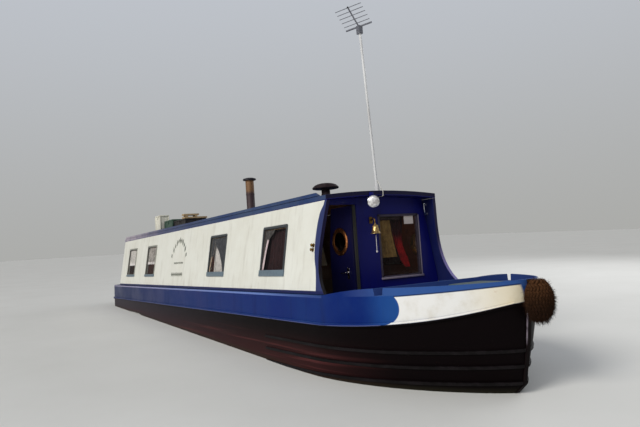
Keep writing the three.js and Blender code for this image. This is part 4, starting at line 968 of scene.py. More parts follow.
def rounded_face(bm, low, high, radius):
    """A flat rounded rectangle in u and v, as one face."""
    before = set(bm.faces)
    corners = bmesh.ops.create_grid(bm, x_segments=1, y_segments=1, size=0.5)["verts"]
    bmesh.ops.scale(bm, verts=corners, vec=(high[0] - low[0], high[1] - low[1], 1))
    bmesh.ops.translate(bm, verts=corners, vec=((low[0] + high[0]) / 2, (low[1] + high[1]) / 2, 0))
    bevel(bm, corners, radius, "VERTICES", 5)
    return [f for f in bm.faces if f not in before][0]


def framed(bm, low, high, radius, width, depth):
    """A flat ring of the given width between two rounded rectangles, thickened from w = 0 to the depth."""
    face = rounded_face(bm, low, high, radius)
    ring = bmesh.ops.inset_region(
        bm, faces=[face], thickness=width, depth=0, use_even_offset=True, use_boundary=True)
    bmesh.ops.delete(bm, geom=[face], context="FACES")
    raised = bmesh.ops.extrude_face_region(bm, geom=ring["faces"])["geom"]
    top = [v for v in raised if isinstance(v, bmesh.types.BMVert)]
    bmesh.ops.translate(bm, verts=top, vec=(0, 0, depth))
    bmesh.ops.recalc_face_normals(bm, faces=bm.faces[:])


def slab(bm, low, high, edge):
    """A plank or plate between two corners, with its edges rounded."""
    own = bmesh.new()
    bmesh.ops.create_cube(own, size=1)
    low, high = Vector(low), Vector(high)
    bmesh.ops.scale(own, verts=own.verts[:], vec=high - low)
    bmesh.ops.translate(own, verts=own.verts[:], vec=(low + high) / 2)
    bevel(own, own.edges[:], edge)
    gather(bm, own)


def soften(bm, width):
    bevel(bm, sharp_edges(bm, 50), width)


def dome(bm, place, radius, height, axis=(0, 0, 1)):
    spun(
        bm, [(radius, 0), (radius * 0.86, height * 0.5), (radius * 0.5, height * 0.88), (0, height)], place,
        axis, 8)


def shifted(bm, w):
    bmesh.ops.translate(bm, verts=bm.verts[:], vec=(0, 0, w))


WINDOW_LENGTH = 0.667
WINDOW_LOW = up_side(1.371)
WINDOW_HIGH = up_side(1.969)
WINDOW_REARS = {1: -8.530, 2: -6.996, 3: -3.390, 4: -1.505}
FLANGE = 0.022
SILL_HEIGHTS = {1: 0.026, 2: 0.028, 3: 0.052, 4: 0.060}
SILL_DROP = 0.016
WINDOW_ALLOYS = {1: pale_alloy, 2: pale_alloy, 3: frame_alloy, 4: frame_alloy}
STEP_INSET = 0.018
REVEAL_INSET = 0.021
GASKET_INSET = 0.0315
PANE_INSET = 0.034
SCREW_INSET = 0.010
END_SCREW = 0.07
WINDOW_GLASSES = {1: side_glass, 2: side_glass, 3: side_glass, 4: dim_glass}


def side_window(number, side):
    name = f"window_{number}_{SIDES[side]}"
    rear = WINDOW_REARS[number]
    front = rear + WINDOW_LENGTH

    def corners(inset):
        return (rear + inset, WINDOW_LOW + inset), (front - inset, WINDOW_HIGH - inset)

    def place(ending, bm, w, material, *replaced):
        shifted(bm, w)
        finished(name + ending, on_side(bm, side), material, "window_alloy", *replaced)

    bm = bmesh.new()
    framed(bm, *corners(0), 0.028, FLANGE, 0.0075)
    framed(bm, *corners(STEP_INSET), 0.020, 0.0135, 0.011)
    soften(bm, 0.0018)
    shifted(bm, 0.0004)
    for k in range(4):
        along = END_SCREW + k * (WINDOW_LENGTH - 2 * END_SCREW) / 3
        up = END_SCREW + k * (WINDOW_HIGH - WINDOW_LOW - 2 * END_SCREW) / 3
        for u, v in (
            (rear + along, WINDOW_HIGH - SCREW_INSET), (rear + along, WINDOW_LOW + 0.007),
            (rear + SCREW_INSET, WINDOW_LOW + up), (front - SCREW_INSET, WINDOW_LOW + up)):
            dome(bm, (u, v, 0.0078), 0.0042, 0.002)
    place("_frame", bm, 0, WINDOW_ALLOYS[number], name)
    bm = bmesh.new()
    sill_top = WINDOW_LOW + SILL_HEIGHTS[number]
    slab(bm, (rear - 0.004, WINDOW_LOW - SILL_DROP, 0.0006), (front + 0.004, sill_top, 0.0165), 0.004)
    place("_sill", bm, 0, sill_alloy)
    bm = bmesh.new()
    framed(bm, *corners(GASKET_INSET), 0.010, 0.005, 0.008)
    soften(bm, 0.002)
    place("_gasket", bm, -0.004, rubber)
    bm = bmesh.new()
    bmesh.ops.solidify(bm, geom=[rounded_face(bm, *corners(PANE_INSET), 0.008)], thickness=0.004)
    place("_glass", bm, -0.003, WINDOW_GLASSES[number])
    bm = bmesh.new()
    framed(bm, *corners(REVEAL_INSET), 0.016, 0.010, 0.034)
    place("_reveal", bm, -0.0385, reveal_paint)


for number in WINDOW_REARS:
    for side in SIDES:
        side_window(number, side)

# Curtains at the side windows. Close behind each pane, on a short rod in the reveal, hang a net with a
# white hem at the rear two, and at the front two dark curtains that are drawn apart, with a trim on the
# rear one. Behind those, on a longer rod in the cabin, hang a pale net at the third window and a dark
# red curtain at the fourth.
CLOTH_COLUMNS_A_FOLD = 8
CLOTH_ROWS = 16


def cloth(rows, folds, depth, w):
    """Folded cloth in u, v and w. Each row of its outline is (v, first u, last u), from the top down."""
    bm = bmesh.new()
    bmesh.ops.create_grid(bm, x_segments=folds * CLOTH_COLUMNS_A_FOLD, y_segments=CLOTH_ROWS, size=0.5)
    for vertex in bm.verts:
        s, t = vertex.co.x + 0.5, 0.5 - vertex.co.y
        place = t * (len(rows) - 1)
        i = min(int(place), len(rows) - 2)
        v, first, last = (a + (b - a) * (place - i) for a, b in zip(rows[i], rows[i + 1]))
        wave = math.sin(2 * math.pi * folds * s) + 0.25 * math.sin(2 * math.pi * (folds * 0.37 * s + t * 0.8))
        vertex.co = (first + (last - first) * s, v, w + depth * wave * (0.55 + 0.45 * t))
    return bm


def declare_cloth(piece, height):
    """Works out how large the cloth was cut, its own area at its own height, and does nothing more with it."""
    area = sum(p.area for p in piece.data.polygons)
    flat = (round(area / height, 3), round(height, 3))


def cloth_material(name, light, dark, weave, see_through=0.0, hem=None, shade_above=None):
    """Woven cloth. A net is see_through in part, and its hem is a white band between two heights.

    Painted shade, where its two heights are given, darkens the cloth nearly to black, more and more from the
    lower height up to the higher.
    """
    material, shader, place, (_, _, z) = new_material(name)
    tone = speckle(place, 18, 4.0, 0.6)
    threads = put(place, "TexVoronoi", {"Vector": place, "Scale": weave}, distance="MANHATTAN")["Distance"]
    colour = mix(between(tone, 0.35, 0.7), light, dark)
    colour = mix(threads * 0.6, colour, shade(light, 0.55))
    if shade_above:
        colour = mix(between(z, *shade_above) * 0.94, colour, rgb(16, 6, 6))
    alpha = 1.0
    if hem:
        band = step_at(z, hem[0]) * (1 - step_at(z, hem[1]))
        colour = mix(band, colour, rgb(240, 240, 236))
        holes = between(threads, 0.3, 0.75)
        alpha = calc("MAXIMUM", band, 1.0 - holes * see_through)
    feed(shader, Base_Color=colour, Roughness=0.9, Alpha=alpha, Normal=bump(threads, 0.3, 0.001))
    return material


NET_LOW = 1.598
NET_BAND = (NET_LOW, NET_LOW + 0.045)
pale_net = cloth_material("pale_net", rgb(250, 251, 242), rgb(242, 243, 232), 210, 0.05, NET_BAND)
grey_net = cloth_material("grey_net", rgb(226, 226, 216), rgb(186, 186, 178), 210, 0.35, NET_BAND)
pale_cloth = cloth_material("pale_cloth", rgb(236, 236, 228), rgb(204, 206, 198), 420)
slate_cloth = cloth_material("slate_cloth", rgb(70, 74, 78), rgb(46, 48, 54), 380)
grey_cloth = cloth_material("grey_cloth", rgb(96, 102, 98), rgb(60, 64, 62), 380)
wine_cloth = cloth_material("wine_cloth", rgb(40, 8, 12), rgb(18, 4, 6), 380)
tan_trim = cloth_material("tan_trim", rgb(206, 184, 158), rgb(176, 152, 126), 500)
white_trim = cloth_material("white_trim", rgb(246, 240, 240), rgb(224, 212, 214), 500)
REVEAL_ROD = {
    "name": "reveal_rod", "up": up_side(1.930), "w": -0.023, "first": 0.055, "last": 0.945, "radius": 0.003}
CABIN_ROD = {
    "name": "cabin_rod", "up": up_side(2.000), "w": -0.066, "first": -0.50, "last": 1.10, "radius": 0.005}
CURTAIN_FOOT = up_side(1.405)


def window_share(number, share):
    """A place along a window, from 0 at its rear edge to 1 at its front edge."""
    return WINDOW_REARS[number] + WINDOW_LENGTH * share


def rod_name(rod, number, side):
    return f"{rod['name']}_{number}_{SIDES[side]}"


def curtain_rod(number, side, rod):
    """A brass rod along a window, in two sockets."""
    bm = bmesh.new()
    first, last = (window_share(number, rod[end]) for end in ("first", "last"))
    sweep(bm, [(u, rod["up"], rod["w"]) for u in (first, (first + last) / 2, last)], rod["radius"], 10)
    for start, end in ((first - 0.004, first + 0.008), (last - 0.008, last + 0.004)):
        sweep(bm, [(u, rod["up"], rod["w"]) for u in (start, end)], rod["radius"] * 1.8, 10)
    finished(rod_name(rod, number, side), on_side(bm, side), brass, "brass")


def side_cloth(name, number, side, rod, rows, folds, material, trim=None):
    """A curtain on a rod. Rows are (share of the height from the foot, first and last share along)."""
    height = rod["up"] - CURTAIN_FOOT
    outline = [(CURTAIN_FOOT + height * up, *[window_share(number, end) for end in ends]) for up, *ends in rows]
    name = f"{name}_{SIDES[side]}"
    bm = cloth(outline, folds, rod["radius"] * 2, rod["w"])
    piece = finished(name, on_side(bm, side), material, "cord", smooth=80)
    if trim:
        bm = bmesh.new()
        first_row, width, colour = trim
        front = rod["w"] + 0.011
        sweep(bm, smooth_path([(u, v, front) for v, _, u in outline[first_row:]], 5), width / 2, 8)
        bmesh.ops.scale(bm, verts=bm.verts[:], vec=(1, 1, 0.25), space=Matrix.Translation((0, 0, -front)))
        finished(name + "_trim", on_side(bm, side), colour, "cord")
    declare_cloth(piece, outline[0][0] - outline[-1][0])


for side in SIDES:
    for number in WINDOW_REARS:
        curtain_rod(number, side, REVEAL_ROD)
    for number in (3, 4):
        curtain_rod(number, side, CABIN_ROD)
    net_share = (up_side(NET_LOW) - CURTAIN_FOOT) / (REVEAL_ROD["up"] - CURTAIN_FOOT)
    for number, net_cloth in ((1, pale_net), (2, grey_net)):
        rows = [(1, 0.06, 0.94), (net_share, 0.06, 0.94)]
        side_cloth(f"net_curtain_{number}", number, side, REVEAL_ROD, rows, 9, net_cloth)
    rows = [(1, -0.02, 1.02), (0.58, -0.02, 1.02), (0.45, 0.03, 1.02), (0.3, 0.12, 1.02), (0, 0.14, 1.02)]
    side_cloth("net_curtain_3", 3, side, CABIN_ROD, rows, 9, pale_cloth)
    rows = [
        (1, 0.06, 0.21), (0.85, 0.06, 0.18), (0.6, 0.06, 0.165), (0.47, 0.06, 0.15), (0.2, 0.06, 0.09),
        (0, 0.06, 0.08)]
    side_cloth("rear_curtain_3", 3, side, REVEAL_ROD, rows, 3, slate_cloth, (3, 0.032, tan_trim))
    rows = [(1, 0.20, 0.94), (0.85, 0.23, 0.94), (0.6, 0.51, 0.94), (0.32, 0.70, 0.94), (0, 0.85, 0.94)]
    side_cloth("front_curtain_3", 3, side, REVEAL_ROD, rows, 4, slate_cloth)
    side_cloth("wine_curtain_4", 4, side, CABIN_ROD, [(1, -0.40, 1.02), (0, -0.40, 1.02)], 10, wine_cloth)
    rows = [
        (1, 0.06, 0.45), (0.9, 0.06, 0.36), (0.84, 0.06, 0.27), (0.77, 0.06, 0.20), (0.45, 0.06, 0.13),
        (0.1, 0.06, 0.085), (0, 0.06, 0.08)]
    side_cloth("tied_curtain_4", 4, side, REVEAL_ROD, rows, 4, grey_cloth, (3, 0.044, white_trim))


# Porthole on the port side: a heavy brass ring with domed bolts round a thick pane. The ring is cast, and its
# bolts clamp it through the steel to a second ring inside.
dark_glass = glass_material("dark_glass", rgb(150, 140, 138), 0.6, 0.2)
RING = [
    (0, 0), (0.050, 0), (0.050, 0.006), (0.041, 0.012), (0.027, 0.0158), (0.012, 0.0145), (0.004, 0.008),
    (0, 0.006)]


def brass_ring(bm, hole, reach, height, place, axis=(0, 0, 1), bolts=8):
    """A moulded ring from the hole's radius out to its reach, with bolts round it."""
    width = reach - hole
    profile = [(hole + r * width / 0.050, h * height / 0.0158) for r, h in RING]
    spun(bm, profile, place, axis, 40, ring=True)
    out = Vector(axis)
    across = out.orthogonal().normalized()
    for i in range(bolts):
        turned = Matrix.Rotation(2 * math.pi * i / bolts, 3, out) @ across
        dome(bm, Vector(place) + turned * (hole + width * 0.72) + out * height * 0.7, 0.0075, 0.006, axis)


PORTHOLE = (-0.440, up_side(1.620))
bm = bmesh.new()
brass_ring(bm, 0.112, 0.158, 0.0076, (*PORTHOLE, 0.0003))
spun(
    bm, [(0.112, -0.036), (0.1276, -0.036), (0.1276, 0.002), (0.112, 0.002)], (*PORTHOLE, 0), steps=40,
    ring=True)
spun(bm, [(0.112, 0), (0.150, 0), (0.146, 0.008), (0.116, 0.008)], (*PORTHOLE, -0.0485), steps=40, ring=True)
finished("porthole_port_ring", on_side(bm, 1), brass, "brass", "porthole_port")
bm = bmesh.new()
spun(bm, [(0, 0), (0.113, 0), (0.113, 0.008), (0, 0.008)], (*PORTHOLE, -0.014), steps=40)
finished("porthole_port_glass", on_side(bm, 1), dark_glass, "window_alloy")

# Front bulkhead: plywood in dark blue gloss, lined with wood inside, with an oiled hardwood jamb on the
# port side of its doorway.
NAVY = rgb(8, 13, 98)
BULKHEAD_FRONT = ROOF_FRONT - 0.200
BULKHEAD_BACK = ROOF_FRONT - 0.240


def wood_material(name, light, dark, along="x", boards=0.0, rough=0.6):
    """Wood grain along an axis; boards gives the width of the boards, with a dark joint between them."""
    material, shader, place, (_, y, _) = new_material(name)
    stretch = {"x": (0.07, 1, 1), "y": (1, 0.07, 1), "z": (1, 1, 0.07)}[along]
    grain = speckle(place, 38, 6.0, 0.7, stretch)
    tone = speckle(place, 4, 3.0, 0.5)
    colour = mix(between(grain, 0.3, 0.75), dark, light)
    colour = mix(tone * 0.5, colour, shade(dark, 0.7))
    height = grain
    if boards:
        joint = abs(calc("FRACT", y / boards) - 0.5)
        gap = between(joint, 0.47, 0.49)
        colour = mix(gap, colour, rgb(22, 16, 12))
        height = grain - gap * 2.0
    feed(shader, Base_Color=colour, Roughness=rough, Normal=bump(height, 0.35, 0.0015))
    return material


navy_paint = paint_material(
    "navy_paint", NAVY, rgb(10, 18, 112), rgb(18, 14, 34), 0.5, 0.3, 0.15,
    inside=lambda x: 1 - step_at(x, BULKHEAD_BACK + 0.004))
skin("front_bulkhead", navy_paint, "blue_paint", edge=0.004)
oiled_wood = wood_material("oiled_wood", rgb(50, 50, 40), rgb(30, 30, 26), "z")
dark_wood = wood_material("dark_wood", rgb(58, 26, 22), rgb(30, 12, 12), "y")
bm = bmesh.new()
slab(bm, (BULKHEAD_FRONT + 0.0003, -0.318, 0.664), (BULKHEAD_FRONT + 0.014, -0.278, 2.118), 0.004)
for z in (0.76, 1.10, 1.44, 1.78, 2.06):
    dome(bm, (BULKHEAD_FRONT + 0.0138, -0.290, z), 0.006, 0.002, (1, 0, 0))
finished("doorway_jamb", bm, oiled_wood, "floor_wood")


# Front window: a dull alloy frame whose sill and port edge strip are paler, as painted highlights, one pane,
# and behind it a tan curtain, a red one tied aside with its top in painted shade, and a blank notice on the
# glass.
def on_front(bm):
    """Stands what was drawn flat up on the front bulkhead: u runs to port, v up and w forward."""
    turn = Matrix(((0, 0, 1, BULKHEAD_FRONT), (1, 0, 0, 0), (0, 1, 0, 0), (0, 0, 0, 1)))
    bmesh.ops.transform(bm, matrix=turn, verts=bm.verts[:])
    return bm


front_alloy = alloy_material("front_alloy", rgb(92, 84, 100), rgb(52, 46, 60))
# Painted highlights: the sill and a strip along the frame's port edge are in a paler alloy than the frame, as
# light catches them.
highlight_alloy = alloy_material("highlight_alloy", rgb(186, 174, 190), rgb(132, 122, 136))
bm = bmesh.new()
framed(bm, (0.0365, 1.2515), (0.6395, 1.9995), 0.010, 0.026, 0.041)
soften(bm, 0.003)
shifted(bm, -0.0355)
finished("front_window_frame", on_front(bm), front_alloy, "window_alloy", "front_window")
bm = bmesh.new()
slab(bm, (0.030, 1.238, 0.0004), (0.662, 1.262, 0.020), 0.004)
slab(bm, (0.641, 1.262, 0.0004), (0.655, 1.985, 0.008), 0.003)
finished("front_window_sill", on_front(bm), highlight_alloy, "window_alloy")
bm = bmesh.new()
pane = rounded_face(bm, (0.060, 1.275), (0.616, 1.976), 0.006)
bmesh.ops.solidify(bm, geom=[pane], thickness=0.005)
shifted(bm, -0.014)
front_glass = glass_material("front_glass", rgb(248, 244, 244), 0.4, 0.04)
finished("front_window_glass", on_front(bm), front_glass, "window_alloy")

tan_cloth = cloth_material("tan_cloth", rgb(178, 150, 84), rgb(136, 110, 60), 380)
# The red curtain's top is darkened with painted shade.
red_cloth = cloth_material("red_cloth", rgb(206, 30, 30), rgb(128, 14, 18), 380, shade_above=(1.56, 1.80))
bm = bmesh.new()
sweep(bm, [(0.02, 2.012, -0.060), (0.34, 2.012, -0.060), (0.66, 2.012, -0.060)], 0.006, 10)
finished("front_curtain_rod", on_front(bm), brass, "brass")
bm = bmesh.new()
slab(bm, (0.045, 1.930, -0.052), (0.400, 2.036, -0.040), 0.003)
finished("pelmet", on_front(bm), dark_wood, "floor_wood")
for name, rows, w, material in (
    ("tan_curtain", [(2.012, 0.02, 0.26), (1.75, 0.03, 0.29), (1.49, 0.03, 0.34)], -0.075, tan_cloth),
    ("red_curtain", [
        (2.012, 0.24, 0.50), (1.80, 0.31, 0.46), (1.62, 0.35, 0.46), (1.45, 0.41, 0.53), (1.36, 0.48, 0.55),
    ], -0.100, red_cloth),
):
    bm = cloth(rows, 4, 0.012, w)
    piece = finished(name, on_front(bm), material, "cord", smooth=80)
    declare_cloth(piece, rows[0][0] - rows[-1][0])

bm = bmesh.new()
bmesh.ops.create_grid(bm, x_segments=10, y_segments=10, size=0.5)
for vertex in bm.verts:
    u, v = vertex.co.x, vertex.co.y
    vertex.co = (
        0.512 + 0.142 * u, 1.925 + 0.098 * v, -0.0175 - 0.010 * max(0.0, -v - 0.2) ** 1.5 - 0.004 * abs(u) ** 3)
bmesh.ops.solidify(bm, geom=bm.faces[:], thickness=0.0006)
paper = mottled_material(
    "paper", rgb(248, 244, 238), rgb(226, 220, 212), (90, 4.0, 0.6), 0.85, relief=(0.3, 0.0006))
finished("blank_notice", on_front(bm), paper, "cord")

# Front door, open inside: a blue panel with a brass porthole, a lever handle and a
# lock plate on its outer face.
door_paint = paint_material("door_paint", rgb(14, 16, 66), rgb(24, 28, 84), rgb(22, 18, 28), 0.5, 0.3, 0.2)
skin("front_door", door_paint, "blue_paint", body="front_door", edge=0.004)
DOOR_FACE = -0.301
DOOR_PORTHOLE = Vector((ROOF_FRONT - 0.515, DOOR_FACE - 0.0003, 1.712))
bm = bmesh.new()
brass_ring(bm, 0.112, 0.165, 0.0158, DOOR_PORTHOLE, (0, -1, 0), 10)
finished("front_door_porthole_ring", bm, dark_brass, "brass", "front_door_porthole", body="front_door")
bm = bmesh.new()
pane_back = DOOR_PORTHOLE - Vector((0, 0.001, 0))
spun(bm, [(0, 0), (0.1125, 0), (0.1125, 0.008), (0, 0.008)], pane_back, (0, -1, 0), 40)
finished("front_door_glass", bm, dark_glass, "window_alloy", body="front_door")

chrome = mottled_material(
    "chrome", rgb(228, 230, 234), rgb(150, 146, 142), (80, 4.0, 0.7), (0.12, 0.3), 1.0, spots=(0.55, 0.75))
LEVER = Vector((ROOF_FRONT - 0.381, DOOR_FACE - 0.0003, 1.350))
bm = bmesh.new()
slab(bm, LEVER + Vector((-0.021, -0.005, -0.075)), LEVER + Vector((0.021, 0, 0.055)), 0.002)
spun(bm, [(0.014, 0), (0.014, 0.010), (0.008, 0.013), (0.008, 0.034)], LEVER, (0, -1, 0), 16)
lever_path = [
    LEVER + Vector(p)
    for p in ((0, -0.034, 0), (-0.004, -0.041, 0), (-0.040, -0.043, -0.002), (-0.092, -0.040, -0.006))]
sweep(bm, smooth_path(lever_path, 4), 0.0075, 10)
finished("front_door_lever", bm, chrome, "chrome", body="front_door")

# Grab handle on the port wing, inside its front edge: a bent chrome bar on two round feet.
SIDE_FOOT_INNER = 0.8988
GRAB = [(-0.158, 1.985), (-0.146, 2.098)]
bm = bmesh.new()
grab_path = []
for x, z in GRAB:
    inner = SIDE_FOOT_INNER - SIDE_LEAN * (z - CABIN_FOOT)
    foot = (ROOF_FRONT + x, inner, z)
    spun(bm, [(0.014, 0), (0.014, 0.003), (0.008, 0.006), (0, 0.006)], foot, (0, -1, 0), 14)
    feet = [(ROOF_FRONT + x, inner - 0.002, z), (ROOF_FRONT + x, inner - 0.028, z)]
    grab_path += feet if z < 2.0 else feet[::-1]
sweep(bm, smooth_path(grab_path, 5), 0.006, 10)
finished("grab_handle_port", bm, chrome, "chrome")

# Roof, its hatch runners and handrails: cambered steel sheet in faded blue, greyer towards the stern, with the
# front edge in dark blue, darkened further as painted shade, and lined with boards inside.
ROOF_EDGE = 2.220
ROOF_CAMBER = 0.040
ROOF_HALF = 0.774
CEILING_HALF = 0.745
CEILING_DROP = 0.048


def roof_top(y):
    return ROOF_EDGE + ROOF_CAMBER * (1 - (y / ROOF_HALF) ** 2)


def roof_material():
    material, shader, place, (x, y, z) = new_material("roof_paint")
    made = painted(place, rgb(32, 54, 98), rgb(62, 80, 110), rgb(62, 58, 68), 0.75, 0.4, 0.5)
    rear = 1 - between(x, ROOF_FRONT - 9.0, ROOF_FRONT - 2.5)
    dust = between(speckle(place, 2.6, 5.0, 0.65), 0.3, 0.7)
    colour = mix(rear * (0.5 + dust) * 0.6, made["Color"], rgb(92, 88, 112))
    stern = 1 - between(x, ROOF_FRONT - 9.0, ROOF_FRONT - 5.5)
    colour = mix(stern * (0.6 + dust) * 0.62, colour, rgb(178, 166, 176))
    # The front edge is dark blue paint, darkened further as painted shade.
    front = step_at(x, ROOF_FRONT - 0.012)
    colour = mix(front, colour, rgb(16, 14, 48))
    across = (y / ROOF_HALF) ** 2
    flat = z + across * ROOF_CAMBER
    under = 1 - step_at(flat, ROOF_EDGE + ROOF_CAMBER - CEILING_DROP)
    within = 1 - step_at(abs(y), CEILING_HALF)
    ceiling = under * within * (1 - step_at(x, BULKHEAD_BACK))
    grain = speckle(place, 12, 5.0, 0.65, (0.06, 1, 1))
    colour = mix(under, colour, NAVY)
    colour = mix(ceiling, colour, mix(grain, rgb(122, 92, 60), rgb(168, 134, 92)))
    feed(shader, Base_Color=colour, Roughness=made["Roughness"], Specular_IOR_Level=0.25)
    feed(shader, Normal=bump(made["Height"], 0.35, 0.002))
    return material


roof_paint = roof_material()
for node, edge in (("roof", 0.006), ("handrail_starboard", 0.010), ("handrail_port", 0.010)):
    skin(node, roof_paint, "blue_paint", edge=edge)

# Mushroom vent: a spun cap over a short neck, on a flange screwed to the roof. It is of steel sheet, dark and
# with rust on it.
vent_metal = worn_bar_material("vent_metal", rgb(32, 22, 26), rgb(92, 80, 78), 0.35, 0.45)
VENT = Vector((ROOF_FRONT - 0.880, -0.225, roof_top(-0.315) - 0.0017))
VENT_PROFILE = [
    (0, 0.004), (0.086, 0.004), (0.090, 0.010), (0.088, 0.017), (0.060, 0.019), (0.054, 0.026), (0.054, 0.058),
    (0.058, 0.062), (0.058, 0.070), (0.054, 0.074), (0.054, 0.128), (0.146, 0.134), (0.160, 0.137),
    (0.167, 0.144), (0.167, 0.152), (0.158, 0.162), (0.134, 0.184), (0.104, 0.196), (0.070, 0.204),
    (0.022, 0.2075), (0.018, 0.2105), (0, 0.211)]
bm = bmesh.new()
spun(bm, VENT_PROFILE, VENT, steps=48)
for i in range(8):
    angle = math.pi * i / 4
    dome(bm, VENT + Vector((0.073 * math.cos(angle), 0.073 * math.sin(angle), 0.017)), 0.006, 0.003)
finished("mushroom_vent_cap", bm, vent_metal, "bare_steel", "mushroom_vent")


# Chimney: a rolled steel pipe on a bolted collar, with a hat, and a seam up the pipe where the sheet is closed.
# Heat has turned the paint tan under the hat.
def chimney_material():
    material, shader, place, (_, _, z) = new_material("chimney_paint")
    rusting = rusted(place, 0.5)
    runs = speckle(place, 22, 5.0, 0.65, (1, 1, 0.12))
    colour = mix(runs, rgb(44, 30, 34), rgb(74, 54, 56))
    wavy = z + runs * 0.06
    burnt = between(wavy, 2.57, 2.63) * (1 - between(z, 2.744, 2.751))
    colour = mix(burnt * 0.8, colour, mix(runs, rgb(104, 70, 40), rgb(150, 112, 70)))
    hat = between(z, 2.744, 2.750)
    colour = mix(hat, colour, rgb(34, 30, 38))
    colour = mix(rusting["Rust"] * 0.5, colour, rusting["Color"])
    feed(shader, Base_Color=colour, Metallic=0.25, Roughness=0.6, Normal=bump(runs, 0.35, 0.001))
    return material


CHIMNEY = Vector((ROOF_FRONT - 2.740, -0.400, roof_top(-0.500) - 0.0017))
CHIMNEY_PROFILE = [
    (0.050, 0.003), (0.097, 0.003), (0.100, 0.007), (0.097, 0.0115), (0.080, 0.014), (0.076, 0.018),
    (0.076, 0.052), (0.079, 0.056), (0.079, 0.064), (0.064, 0.066), (0.062, 0.070), (0.062, 0.290),
    (0.0645, 0.292), (0.0645, 0.306), (0.062, 0.308), (0.062, 0.512), (0.093, 0.510), (0.098, 0.514),
    (0.098, 0.530), (0.090, 0.536), (0.055, 0.546), (0.014, 0.5515), (0, 0.552)]
bm = bmesh.new()
spun(bm, CHIMNEY_PROFILE, CHIMNEY, steps=40)
for i in range(6):
    angle = math.pi * i / 3
    dome(bm, CHIMNEY + Vector((0.089 * math.cos(angle), 0.089 * math.sin(angle), 0.0125)), 0.007, 0.004)
seam = [CHIMNEY + Vector((0.0625 * math.cos(2.4), 0.0625 * math.sin(2.4), h)) for h in (0.075, 0.3, 0.505)]
sweep(bm, seam, 0.0025, 6)
finished("chimney_pipe", bm, chimney_material(), "hull_steel", "chimney")

# Mast and television aerial: a painted tube stepped in a socket, and alloy rods on a boom clamped to its top by
# a U-bolt, with black plugs in the boom's ends.
mast_paint = paint_material(
    "mast_paint", rgb(208, 208, 208), rgb(176, 174, 176), rgb(120, 112, 104), 0.6, 0.5, 0.5)
skin("mast", mast_paint, "mast_paint", smooth=40)
aerial_alloy = alloy_material("aerial_alloy", rgb(150, 152, 160), rgb(104, 104, 112))
skin("tv_aerial", aerial_alloy, "window_alloy", smooth=50, edge=0.0012)
MAST_FOOT = Vector((ROOF_FRONT - 0.115, 0, 2.262))
MAST_HEAD = Vector((ROOF_FRONT - 0.226, 0, 4.224))
BOOM = Vector((0.229, -0.693, 0.684)).normalized()


def mast_at(z):
    return MAST_FOOT.lerp(MAST_HEAD, (z - MAST_FOOT.z) / (MAST_HEAD.z - MAST_FOOT.z))


bm = bmesh.new()
for z in (4.178, 4.212):
    middle = mast_at(z)
    bend = [Vector((0.030 * math.sin(a), 0.030 * math.cos(a), 0)) for a in (i * math.pi / 8 for i in range(9))]
    sweep(bm, [middle + p for p in (Vector((-0.012, 0.030, 0)), *bend, Vector((-0.012, -0.030, 0)))], 0.003, 6)
finished("aerial_u_bolts", bm, aerial_alloy, "window_alloy")
bm = bmesh.new()
for along in (-0.0605, 0.2845):
    end = mast_at(4.247) + BOOM * along
    tip = BOOM if along > 0 else -BOOM
    spun(bm, [(0.0098, -0.008), (0.0098, 0.003), (0.006, 0.0045), (0, 0.0045)], end, tip, 12)
finished("aerial_plugs", bm, rubber, "window_alloy")

# Boxes on the roof: a cream locker and a green box of boards with lids on strap hinges, and a low black coal
# box with slats over it. Their feet follow the roof's camber.
cream_wood = paint_material(
    "cream_wood", rgb(230, 228, 214), rgb(206, 202, 188), rgb(128, 112, 92), 0.6, 0.55, 0.6)
green_wood = paint_material("green_wood", rgb(50, 74, 62), rgb(86, 112, 98), rgb(60, 54, 46), 0.6, 0.5, 0.6)
black_wood = paint_material("black_wood", rgb(34, 32, 34), rgb(66, 62, 62), rgb(84, 74, 62), 0.6, 0.5, 0.6)
BOX_INSET = 0.012
BOARD_THICKNESS = 0.018
BOARD_GAP = 0.003


